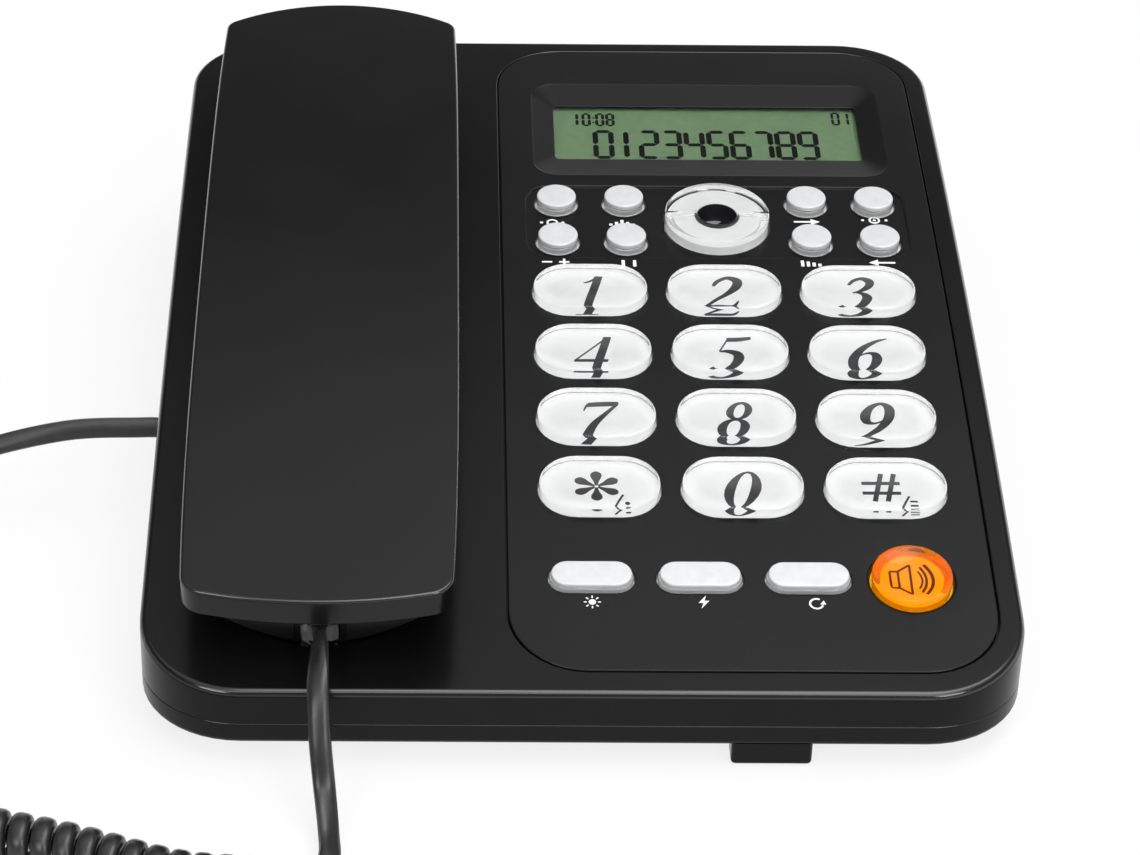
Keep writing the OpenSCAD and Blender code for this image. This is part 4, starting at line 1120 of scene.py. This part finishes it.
SQUARE = "22 94 40, 15 58 40, 8 22 40 / 42 94 40, 35 58 40, 28 22 40 / -10 70 42, 20 70 42, 50 70 42 / " \
         "-10 44 42, 20 44 42, 50 44 42"
SQUARE_SIDE = "62 36 18, 55 20 18, 49 6 18 / 62 22 20, 68 22 20, 74 22 20 / 62 12 20, 68 12 20, 74 12 20"
for k, stroke in enumerate(pen_strokes(SQUARE)):
    ink_stroke(hash_mark, stroke, hash_place, ink_z(k))
for stroke in pen_strokes(SQUARE_SIDE):
    ink_stroke(hash_mark, stroke, hash_place, ink_z())
key_piece("key_hash", "_figure", hash_mark, digit_ink)
print("star and square mark drawn")

# %% [markdown]
# ## Menu keys, scroll ring and function keys
#
# The small keys are pearl buttons on a clear foot; their neck under the overhang is black, painted shade
# that draws the dark line at the waist. The scroll ring is one thick clear ring in two halves, its hole
# lined with a black sleeve as painted shade, and the loudspeaker key is an orange dish over its sign.
# All are turned or drawn from one outline with a profile, as on a lathe.

# %% Build the small round keys
def stepped_key(name, seat, foot, top, s, stem_r, foot_top, low, high):
    """A clear foot, a neck painted black as painted shade under the button's overhang, and a pearl button with a
    slightly domed face.
    """
    white_base(name, seat, foot, s, stem_r, core_inset=1.6, core_top=-1.5)
    key_piece(name, "_foot", turned(seat, foot, cap_profile(foot_top, 0.22, 3)), clear_acrylic)
    # The neck is painted black: painted shade for the dark line under the button.
    key_piece(name, "_neck", turned(seat, top, [(0.5, foot_top + 0.01), (0.5, low + 0.1)]), digit_ink)
    button = [(0.35, low), (0.1, low + 0.03), (0.0, low + 0.13)]
    button += [(inset, high - drop) for inset, drop in easing(0.4, 5)] + [(1.4, high + 0.05), (2.6, high + 0.07)]
    key_piece(name, "_top", turned(seat, top, button), pearl_white)


menu_outline = circle(ROUND_R - 0.25, 36)
for name, (x, s) in menu_places.items():
    stepped_key(name, seat_at(FASCIA_X + x, s), menu_outline, menu_outline, s,
                stem_r=1.8, foot_top=0.2, low=0.6, high=1.8)
print("menu keys:", len(menu_places))

# %% Build the scroll ring in two halves
SPLIT, RING_TOP, RING_EASE, RING_STEPS = 0.5, 2.6, 0.4, 40
CORE_R, CORE_HOLE, CORE_TOP, CORE_FLANGE = RING_R - 1.9, RING_HOLE + 0.6, 0.4, 1.3
# The sleeve is a black lining of the ring's hole: painted shade that keeps the hole dark.
SHADE_SLEEVE_R, SHADE_SLEEVE_HOLE, SHADE_SLEEVE_TOP = RING_HOLE + 0.5, RING_HOLE + 0.12, 1.5
FLANGE_LOW = FLANGE_TOP - FLANGE_T
ring_seat = seat_at(FASCIA_X, MENU_S)


def half_ring(upward, outer_r, inner_r, profile):
    """Half a ring swept from one end to the other; profile is a closed list of (radius share, z)."""
    sections = []
    for k in range(RING_STEPS + 1):
        section = []
        for share, z in profile:
            r = inner_r + (outer_r - inner_r) * share
            start = math.asin(min(1.0, SPLIT / 2 / r))
            a = start + (math.pi - 2 * start) * k / RING_STEPS
            section.append(ring_seat @ Vector((r * math.cos(a), upward * r * math.sin(a), z)))
        sections.append(section)
    return Skin().solid(sections)


span = RING_R - RING_HOLE
outer_side = [(1 - inset / span, RING_TOP - drop) for inset, drop in easing(RING_EASE)]
inner_side = [(inset / span, RING_TOP - drop) for inset, drop in reversed(easing(RING_EASE))]
cap_low = FLANGE_TOP + 0.06
cap_section = [(0.0, cap_low), (1.0, cap_low), *outer_side, (0.5, RING_TOP + 0.05), *inner_side]
core_section = [(0, FLANGE_LOW), (CORE_FLANGE, FLANGE_LOW), (CORE_FLANGE, FLANGE_TOP),
                (1.0, FLANGE_TOP + 0.02), (1.0, CORE_TOP), (0, CORE_TOP)]
shade_sleeve_section = [(0, FLANGE_LOW), (1, FLANGE_LOW), (1, SHADE_SLEEVE_TOP), (0, SHADE_SLEEVE_TOP)]
for name, upward in (("up_key", 1), ("down_key", -1)):
    key_piece(name, "_cap", half_ring(upward, RING_R, RING_HOLE, cap_section), clear_acrylic)
    core = half_ring(upward, CORE_R, CORE_HOLE, core_section)
    core.join(stem(ring_seat @ Matrix.Translation((0, upward * (RING_R + RING_HOLE) / 2, 0)), 2.0, MENU_S))
    key_piece(name, "_base", core, base_white, replaces=[name])
    # A black sleeve lines the hole: painted shade.
    key_piece(name, "_sleeve", half_ring(upward, SHADE_SLEEVE_R, SHADE_SLEEVE_HOLE, shade_sleeve_section), digit_ink)
print("scroll ring: two halves")

# %% Build the function keys and the loudspeaker key
func_foot, func_top = (capsule(FUNC_KEY[0] - less, FUNC_KEY[1] - less, steps=12, fill=8) for less in (0, 0.7))
for name, (x, s) in func_places.items():
    stepped_key(name, seat_at(FASCIA_X + x, s), func_foot, func_top, s,
                stem_r=2.0, foot_top=0.4, low=0.7, high=1.65)

SPEAKER_RISE, SPEAKER_EASE, SIGN_Y, SIGN_Z, SIGN_STEP, SIGN_LINE = 2.0, 0.7, -0.1, -0.49, 0.004, 0.26
SPEAKER_DISH = [(1.0, 1.97), (1.5, 1.82), (2.2, 1.55), (3.2, 1.27), (4.6, 1.06), (6.4, 0.98)]
speaker_seat, speaker_outline = seat_at(FASCIA_X + SPEAKER_KEY_X, FUNC_S), circle(SPEAKER_KEY_R, 48)
white_base("speaker_key", speaker_seat, speaker_outline, FUNC_S, stem_r=2.5, core_inset=1.5, core_top=-0.5,
           finish=base_orange)
profile = cap_profile(SPEAKER_RISE, SPEAKER_EASE, 6) + SPEAKER_DISH
key_piece("speaker_key", "_cap", turned(speaker_seat, speaker_outline, profile), orange_acrylic)


def straight(a, b, w):
    """A straight stroke of even width."""
    return [(*a, w), ((a[0] + b[0]) / 2, (a[1] + b[1]) / 2, w), (*b, w)]


sign = Skin()
sign_place = lambda x, y, z: speaker_seat @ Vector((x, y + SIGN_Y, z))
BOX = [(-4.5, 2.4), (-2.75, 2.4), (-2.75, -2.4), (-4.5, -2.4)]
HORN = [(-2.75, 2.4), (-0.2, 4.3), (-0.2, -4.3), (-2.75, -2.4)]
WAVES = ((2.15, 2.5, 0.75), (3.05, 3.7, 1.15), (4.45, 4.4, 1.6))
lines = [ends for run in (BOX, HORN) for ends in zip(run, run[1:] + run[:1])]
for k, (a, b) in enumerate(lines):
    ink_stroke(sign, straight(a, b, SIGN_LINE), sign_place, SIGN_Z + SIGN_STEP * k)
for k, (tip, half, bulge) in enumerate(WAVES):
    wave = [(tip - bulge * u * u, half * u, 0.22 + 0.07 * k) for u in (-1, -0.5, 0, 0.5, 1)]
    ink_stroke(sign, wave, sign_place, SIGN_Z + 0.005 * k)
key_piece("speaker_key", "_sign", sign, sign_ink)
print("function keys:", len(func_places), "and the loudspeaker key")

# %% [markdown]
# ## Marks on the fascia
#
# Each small key has a printed mark under it: a ring with dots, an arrow, bars and the like. All are one
# thin film of white ink on the panel, drawn with the pen of the digits, so that they follow the crown.

# %% Print the marks
MARK_Z, MENU_SIGN, BAR_LOW = 0.012, 1.3, -0.9
marks = Skin()


def mark_place(x0, s0, h=0.0, size=1.0):
    return lambda x, y, z: on_crown(FASCIA_X + x0 + size * x, s0 + size * y, h + z)


def mark_bar(p, a, b, w):
    ink_stroke(marks, straight(a, b, w), p, MARK_Z)


def arrow(p, flip):
    mark_bar(p, (-2.2 * flip, 0), (1.0 * flip, 0), 0.22)
    ink_shape(marks, [(2.4 * flip, 0), (0.8 * flip, 0.9), (0.8 * flip, -0.9)], p, MARK_Z)


def bars(p, heights):
    """Upright bars in a row; None leaves a place empty."""
    for k, high in enumerate(heights):
        if high:
            x = k - (len(heights) - 1) / 2
            mark_bar(p, (x, BAR_LOW), (x, BAR_LOW + high), 0.28)


def less_more(p, w):
    for a, b in (((-2.4, 0), (-0.6, 0)), ((0.6, 0), (2.4, 0)), ((1.5, -0.9), (1.5, 0.9))):
        mark_bar(p, a, b, w)


def dotted_ring(p, dots):
    ink_stroke(marks, oval(0, 0, 0.85, 0.85, 0.18, 0.18), p, MARK_Z, True)
    for x in dots:
        ink_shape(marks, moved(circle(0.3, 10), x, 0), p, MARK_Z)


for draw, x, s, h, detail in (
        (dotted_ring, -38.1, 151.1, -BAND_DIP, (-1.9, 1.9)),
        (bars, -21.9, 151.2, -BAND_DIP, (0.6, 1.1, 1.7, 1.1, 0.6)),
        (arrow, 20.9, 152.0, -BAND_DIP, 1), (dotted_ring, 36.8, 152.8, -BAND_DIP, (0, -2.1, 2.1)),
        (less_more, -37.7, 134.9, 0, 0.2), (bars, -21.0, 134.5, 0, (1.8, None, 1.8)),
        (bars, 20.6, 134.9, 0, (1.7, 1.4, 1.1, 0.8)), (arrow, 37.0, 135.3, 0, -1)):
    draw(mark_place(x, s, h, MENU_SIGN), detail)

SUN_RAYS, SUN_R, RAY_FROM, RAY_TO = 8, 0.75, 1.15, 1.75
BOLT = [(0.5, 1.8), (-1.1, -0.25), (-0.1, -0.25), (-0.6, -1.8), (1.1, 0.35), (0.1, 0.35)]
AGAIN_R, AGAIN_TIP = 1.35, [(1.9, -0.2), (0.7, -0.2), (1.5, 0.9)]
sun, bolt, again = mark_place(-32.7, 24.85), mark_place(-9.9, 25.0), mark_place(13.1, 24.7)
ink_shape(marks, circle(SUN_R, 18), sun, MARK_Z)
for k in range(SUN_RAYS):
    cos, sin = math.cos(math.tau * k / SUN_RAYS), math.sin(math.tau * k / SUN_RAYS)
    mark_bar(sun, (RAY_FROM * cos, RAY_FROM * sin), (RAY_TO * cos, RAY_TO * sin), 0.14)
ink_shape(marks, BOLT, bolt, MARK_Z)
turns = [math.radians(degrees) for degrees in range(60, 341, 28)]
ink_stroke(marks, [(AGAIN_R * math.cos(a), AGAIN_R * math.sin(a), 0.2) for a in turns], again, MARK_Z)
ink_shape(marks, AGAIN_TIP, again, MARK_Z)
dress(moulded("fascia_marks", marks), "base", mark_white)
print("marks printed:", len(marks.faces), "faces")

# %% [markdown]
# ## The display
#
# A green liquid crystal glass lies under a clear window. Its figures are made of seven bars each, so
# one small function draws any number from the bars that are lit.

# %% Draw the seven-bar figures
LCD_TOP, BAR_GAP = -3.25, 0.15
BARS = {"0": "abcdef", "1": "bc", "2": "abged", "3": "abgcd", "4": "fgbc", "5": "afgcd", "6": "afgedc", "7": "abc",
        "8": "abcdefg", "9": "abcdfg"}
BAR_ENDS = {"a": (0, 2, 1, 2), "b": (1, 1, 1, 2), "c": (1, 0, 1, 1), "d": (0, 0, 1, 0), "e": (0, 0, 0, 1),
            "f": (0, 1, 0, 2), "g": (0, 1, 1, 1)}
display_seat = seat_at(FASCIA_X, DISPLAY_S)
segments = Skin()


def on_display(outline):
    ink_shape(segments, outline, lambda x, y, z: display_seat @ Vector((x, y, z)), LCD_TOP + 0.02)


def lit_bar(start, end, t):
    """One bar with pointed ends between two points."""
    along = (end - start).normalized()
    out = Vector((-along.y, along.x)) * t
    a, b = start + along * t * BAR_GAP, end - along * t * BAR_GAP
    on_display([a, a + along * t + out, b - along * t + out, b, b - along * t - out, a + along * t - out])


def lit_figure(figure, x, y, w, h, t):
    """A figure whose lower left corner is at x, y."""
    for bar_name in BARS[figure]:
        x0, y0, x1, y1 = BAR_ENDS[bar_name]
        lit_bar(Vector((x + w * x0, y + h / 2 * y0)), Vector((x + w * x1, y + h / 2 * y1)), t)


LARGE_X, LARGE_Y, LARGE_PITCH, LARGE_W, LARGE_H, LARGE_T = -26.7, -8.6, 5.49, 3.8, 11.6, 0.66
SMALL_Y, SMALL_W, SMALL_H, SMALL_T, COUNT_T, COUNT_RISE = 5.8, 1.5, 5.2, 0.38, 0.33, 1.0
COLON_X, COLON_R = -26.9, 0.3
for k, figure in enumerate("0123456789"):
    narrow = LARGE_W / 2 if figure == "1" else 0.0
    lit_figure(figure, LARGE_X + k * LARGE_PITCH - narrow, LARGE_Y, LARGE_W, LARGE_H, LARGE_T)
for figure, x in (("1", -32.4), ("0", -29.4), ("0", -26.1), ("8", -23.6)):
    lit_figure(figure, x, SMALL_Y, SMALL_W, SMALL_H, SMALL_T)
for rise in (1.4, 3.4):
    on_display(moved(circle(COLON_R, 10), COLON_X, SMALL_Y + rise))
for figure, x in (("0", 31.4), ("1", 33.6)):
    lit_figure(figure, x, SMALL_Y + COUNT_RISE, SMALL_W, SMALL_H, COUNT_T)
dress(moulded("display_figures", segments), "base", segment_ink)
print("bars lit:", len(segments.faces) // 8)

# %% [markdown]
# ## The handset
#
# The handset's back is one long shell with a slow bow at the mouth end and a quick one at the ear end.
# Its upper edge has a clear radius that draws a thin bright line round it. The rings are bent over the
# same crown as the case, so handset and case stay parallel.

# %% Build the handset's back
NOSE = 2.8
HANDSET_W, HANDSET_LEN, SHIFT_X = 54.0, 210.0 + NOSE, -0.5
FRONT_BOW, REAR_BOW, HS_CORNER, HS_REAR_CORNER, SIDE_BOW = 108.0, 42.8, 5.0, 4.0, 1.3
HS_RISE, HS_SPLIT, HS_WALL, HS_EDGE = 18.0, 12.0, 2.0, 0.7


def handset_outline():
    """Arcs that meet smoothly: ear end, corners and mouth end."""
    rear_y, front_y = HANDSET_LEN / 2 - REAR_BOW, FRONT_BOW - HANDSET_LEN / 2
    rx, fx = HANDSET_W / 2 - HS_REAR_CORNER, HANDSET_W / 2 - HS_CORNER
    ry = rear_y + math.sqrt((REAR_BOW - HS_REAR_CORNER) ** 2 - rx ** 2)
    fy = front_y - math.sqrt((FRONT_BOW - HS_CORNER) ** 2 - fx ** 2)
    rear_turn, front_turn = math.atan2(ry - rear_y, rx), math.atan2(front_y - fy, fx)
    pi = math.pi
    runs = [arc(rx, ry, HS_REAR_CORNER, 0, rear_turn, 8),
            arc(0, rear_y, REAR_BOW, rear_turn, pi - rear_turn, 20)[1:-1],
            arc(-rx, ry, HS_REAR_CORNER, pi - rear_turn, pi, 8), arc(-fx, fy, HS_CORNER, pi, pi + front_turn, 10),
            arc(0, front_y, FRONT_BOW, pi + front_turn, 2 * pi - front_turn, 18)[1:-1],
            arc(fx, fy, HS_CORNER, 2 * pi - front_turn, 2 * pi, 10)]
    return closed(runs, [0, 0, 34, 0, 0, 34])


def handset_point(x, y, h):
    """A point of the handset's back, whose sides swell slightly between the ends."""
    swell = 1 + SIDE_BOW * (1 - min(1.0, abs(2 * y / HANDSET_LEN)) ** 4) / (HANDSET_W / 2)
    return handset_seat @ Vector((x * swell, y, math.sqrt((CROWN_R + h) ** 2 - y * y) - CROWN_R))


def handset_ring(inset, h):
    return [handset_point(x, y, h) for x, y, _, _ in grown(hs_outline, -inset)]


hs_outline = moved(handset_outline(), SHIFT_X, -NOSE / 2)
back = Skin()
back_rings = [handset_ring(HS_WALL, HS_RISE - HS_WALL), handset_ring(HS_WALL, HS_SPLIT)]
back_rings += [handset_ring(inset, HS_SPLIT + drop) for inset, drop in reversed(easing(EASE))]
back_rings += [handset_ring(inset, HS_RISE - drop) for inset, drop in easing(HS_EDGE, 6)]
back.band(back_rings)
for inset, height in ((HS_EDGE, HS_RISE), (HS_WALL, HS_RISE - HS_WALL)):
    back.sheet(grown(hs_outline, -inset), [], lambda x, y: handset_point(x, y, height), 7.0)
handset = dress(moulded("handset_shell", back), "handset", handset_black, ["handset_back"])
print("handset back:", len(handset.data.polygons), "faces")


# %% [markdown]
# ## Pieces whose solids are right
#
# The inner half of the handset, the plugs, the sockets, the feet and the screws have the right shape in
# the solids. Their meshes are copied, flat triangles are joined into faces, and the edges that can be
# seen are rounded a little.

# %% Copy a node with eased edges
FLAT, SHARP = math.radians(0.5), math.radians(40)


def welded_copy(node):
    """A bmesh of a node's solid, its loose triangles welded."""
    bm = bmesh.new()
    bm.from_mesh(frame["nodes"][node].data)
    bmesh.ops.remove_doubles(bm, verts=bm.verts[:], dist=SLIVER)
    return bm


def eased_copy(node, name, width, wanted=lambda a, b: True):
    """A copy of a node's mesh whose chosen sharp edges are rounded."""
    bm = welded_copy(node)
    bmesh.ops.dissolve_limit(bm, angle_limit=FLAT, verts=bm.verts[:], edges=bm.edges[:])
    sharp = [e for e in bm.edges if len(e.link_faces) == 2 and e.calc_face_angle() > SHARP
             and wanted(e.verts[0].co / MM, e.verts[1].co / MM)]
    bmesh.ops.bevel(bm, geom=sharp, offset=width * MM, segments=2, profile=0.5, affect="EDGES", clamp_overlap=True)
    bmesh.ops.recalc_face_normals(bm, faces=bm.faces[:])
    eased_normals(bm)
    return piece_of(name, bm)


to_handset = handset_seat.inverted()
CUP_FOOT_Z, CUP_RIM_R, RIM_X, RIM_Y, RIM_Z = -9.5, 20, 20, 90, 8.5


def outer_edge(a, b):
    """Edges of the inner handset shell that show: its lower rim, the cups' feet and the socket's mouth."""
    ends = a, b = to_handset @ a, to_handset @ b
    low, high = sorted(p.z for p in ends)
    if high < CUP_FOOT_Z and math.hypot(a.x, abs(a.y) - CUP_PITCH / 2) > CUP_RIM_R:
        return True
    return 0 < low and high < RIM_Z and all(abs(p.x) > RIM_X or abs(p.y) > RIM_Y for p in ends)


def cone_block():
    """Half a thick ring round a cup whose inner side is a cone; it cuts the corners of the shell to a bowl."""
    low, high, outer = -1.0, 11.7, 60.0
    foot_r, spread, steps = 24.4, 0.95, 32
    profile = [(foot_r + spread * (z - 1), z) for z in (low, high)] + [(outer, high), (outer, low)]
    return Skin().solid([[Vector((r * math.cos(a), -r * math.sin(a), z)) for r, z in profile]
                         for a in (math.pi * k / steps for k in range(steps + 1))])


inner = eased_copy("handset_front", "handset_inner", 0.7, outer_edge)
dress(inner, "handset", handset_black, ["handset_front"])
for end in (-1, 1):
    cup_seat = seat_at(HANDSET_X, HANDSET_S + end * CUP_PITCH / 2)
    cut(inner, cone_block(), cup_seat @ Matrix.Scale(-end, 4, (0, 1, 0)))
print("inner handset shell:", len(inner.data.polygons), "faces")

# %% [markdown]
# Screws and weights are bright drawn steel, the board is green lacquered glass fibre, and the mat is
# grey silicone.

# %% Mix the finishes of small and inner pieces
def brushed_steel(name):
    material, start, place = new_finish(name)
    scratch = start.node("ShaderNodeTexNoise", None, {"Vector": place, "Scale": 700.0, "Distortion": 2.0})
    surface(start, Base_Color=scratch.tint(grey(0.42), grey(0.6)), Roughness=0.24 + 0.2 * scratch, Metallic=1.0)
    return material


screw_steel = brushed_steel("screw_steel")
board_green = printed("board_green", (0.02, 0.12, 0.05, 1), (0.03, 0.17, 0.07, 1), 0.3)
mat_grey = printed("mat_grey", (0.02, 0.02, 0.022, 1), (0.03, 0.03, 0.032, 1), 0.55)
print("inner finishes:", screw_steel.name, board_green.name, mat_grey.name)

# %% Ease the plugs, the sockets, the feet and the screws
TRIM = {"handset_plug": ("handset", "cable", plug_clear, 0.3), "base_plug": ("base", "cable", plug_clear, 0.3),
        "handset_jack": ("handset", "case", case_black, 0.15), "base_jack": ("base", "case", case_black, 0.15),
        "line_jack": ("base", "case", case_black, 0.2),
        "hook_plunger": ("hook_plunger", "case", handset_black, 0.5),
        "rubber_feet": ("base", "rubber", foot_rubber, 0.8), "case_screws": ("base", "steel", screw_steel, 0.25),
        "handset_screws": ("handset", "steel", screw_steel, 0.25)}
trim = {}
for node, (body, slot, finish, width) in TRIM.items():
    trim[node] = dress(eased_copy(node, node + "_eased", width), body, finish, [node])


def plug_core(node, share):
    """A smaller copy of a plug: the end of the jacket and the wires, seen through the clear plug."""
    bm = welded_copy(node)
    corners = [[f(v.co[k] for v in bm.verts) for k in range(3)] for f in (min, max)]
    middle = (Vector(corners[0]) + Vector(corners[1])) / 2
    for v in bm.verts:
        v.co = middle + Vector([(v.co[k] - middle[k]) * share[k] for k in range(3)])
    eased_normals(bm)
    return piece_of(node + "_core", bm)


CORE_ACROSS, CORE_ALONG, CORE_HIGH = 0.66, 0.9, 0.6
for node, share in (("handset_plug", (CORE_ACROSS, CORE_ALONG, CORE_HIGH)),
                    ("base_plug", (CORE_ALONG, CORE_ACROSS, CORE_HIGH))):
    dress(plug_core(node, share), TRIM[node][0], cable_vinyl)
print("eased pieces:", ", ".join(trim))

dress(cord, "base", cable_vinyl, ["handset_cord"])
cord.parent = None
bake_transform(cord)
lead_start * MM
[p * MM for p in route]

# %% [markdown]
# ## Pieces inside
#
# The board, the mat, the loudspeaker and the rest are only seen through a slot or when the handset is
# lifted. They keep the meshes of the solids and get plain workshop finishes.

# %% Dress the inner nodes
INNER = {"lcd_lens": ("window", window_clear), "lcd_glass": ("display", display_green),
         "lcd_tray": ("white_plastic", base_white), "main_board": ("board", board_green),
         "key_mat": ("mat", mat_grey), "loudspeaker": ("speaker", case_black), "hook_switch": ("case", case_black),
         "receiver": ("speaker", case_black), "microphone": ("speaker", screw_steel),
         "handset_weight": ("steel", screw_steel), "board_screws": ("steel", screw_steel)}
for node, (slot, finish) in INNER.items():
    piece = frame["nodes"][node]
    piece.data.materials.clear()
    piece.data.materials.append(finish)
print("inner nodes:", len(INNER))

# %% [markdown]
# ## Floor, light and background
#
# The telephone stands on a plain white sheet under a large soft lamp. The sheet is white to the camera
# and in reflections, so that the black mouldings have a bright surrounding, and keeps a share of its
# true shading so that a soft shadow stays under the case.

# %% Lay the floor
FLOOR_SIZE = 6.0
floor_mesh = bpy.data.meshes.new("floor")
reach = FLOOR_SIZE / 2
corners = [(x * reach, y * reach, 0) for x, y in ((-1, -1), (1, -1), (1, 1), (-1, 1))]
floor_mesh.from_pydata(corners, [], [(0, 1, 2, 3)])
floor = bpy.data.objects.new("floor", floor_mesh)
bpy.context.scene.collection.objects.link(floor)
floor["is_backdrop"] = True


def seen_directly(start):
    """1 for rays from the camera, from a mirror or through clear plastic."""
    outputs = start.node("ShaderNodeLightPath").socket.node.outputs
    camera_ray, glossy_ray, clear_ray = (Wire(start.tree, outputs["Is %s Ray" % kind])
                                         for kind in ("Camera", "Glossy", "Transmission"))
    return start.math("MINIMUM", camera_ray + glossy_ray + clear_ray, 1.0)


WHITE_SHARE = 0.82
paper, start, place = new_finish("paper")
fibre = grain(start, place, 60.0)
lit = start.node("ShaderNodeBsdfDiffuse", None, {"Color": fibre.tint(grey(0.78), grey(0.8))})
white = start.node("ShaderNodeEmission", None, {"Color": grey(1.0), "Strength": 1.0})
mixed = start.node("ShaderNodeMixShader", None, {0: seen_directly(start) * WHITE_SHARE, 1: lit, 2: white})
start.node("ShaderNodeOutputMaterial", None, {"Surface": mixed})
floor_mesh.materials.append(paper)
print("floor: %.0f m" % FLOOR_SIZE)

# %% [markdown]
# The main lamp is a wide soft panel almost straight above. Flat tops mirror the dim part of the dome
# behind the telephone and stay dark; rounded edges turn towards the lamps and draw a bright line. A low
# wide panel in front and two small ones beside it light the edges, the front wall and the corners. The
# dome is bright at the horizon, dim half way up and bright again above, and brighter on the right.

# %% Hang the lamps
def panel_lamp(name, place, aim, size, watts):
    data = bpy.data.lights.new(name, "AREA")
    data.shape, data.size, data.size_y, data.energy = "RECTANGLE", size[0], size[1], watts
    lamp = bpy.data.objects.new(name, data)
    turn = (Vector(aim) - Vector(place)).to_track_quat("-Z", "Y").to_matrix().to_4x4()
    lamp.matrix_world = Matrix.Translation(place) @ turn
    bpy.context.scene.collection.objects.link(lamp)


CASE_MIDDLE, LEFT_SKY = (0, 0, 0.03), 0.7
DOME = [(0.0, 1.45), (0.1, 1.4), (0.2, 0.7), (0.38, 0.36), (0.54, 0.2), (0.64, 0.12), (0.72, 0.36), (0.8, 0.95),
        (0.9, 1.4)]
panel_lamp("top_panel", (0.3, -0.2, 1.4), (0, 0, 0), (1.3, 0.6), 8.5)
panel_lamp("front_panel", (0, -1.0, 1.2), CASE_MIDDLE, (1.5, 0.3), 3.6)
for name, x in (("left_panel", -0.62), ("right_panel", 0.62)):
    panel_lamp(name, (x, -1.1, 0.85), CASE_MIDDLE, (0.5, 0.3), 4.0)

world = bpy.data.worlds.new("studio")
world.use_nodes = True
world.node_tree.nodes.clear()
bpy.context.scene.world = world
sky = Wire(world.node_tree)
direction = sky.node("ShaderNodeTexCoord", out=0)
across = sky.node("ShaderNodeSeparateXYZ", None, {0: direction}, 0)
height = sky.node("ShaderNodeSeparateXYZ", None, {0: direction}, 2)
dome = sky.node("ShaderNodeValToRGB", {"stops": [(z, grey(v)) for z, v in DOME]}, {0: height})
strength = LEFT_SKY + LEFT_SKY * across.between(-0.12, 0.2)
ambient = sky.node("ShaderNodeBackground", None, {"Color": dome, "Strength": strength})
sky.node("ShaderNodeOutputWorld", None, {"Surface": ambient})
bpy.context.scene.view_settings.view_transform = "Standard"

# %% Print the sizes
dressed_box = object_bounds()
for title, box in (("cad", cad_box), ("dressed", dressed_box)):
    print(title, [round((b - a) / MM, 1) for a, b in zip(*box)])
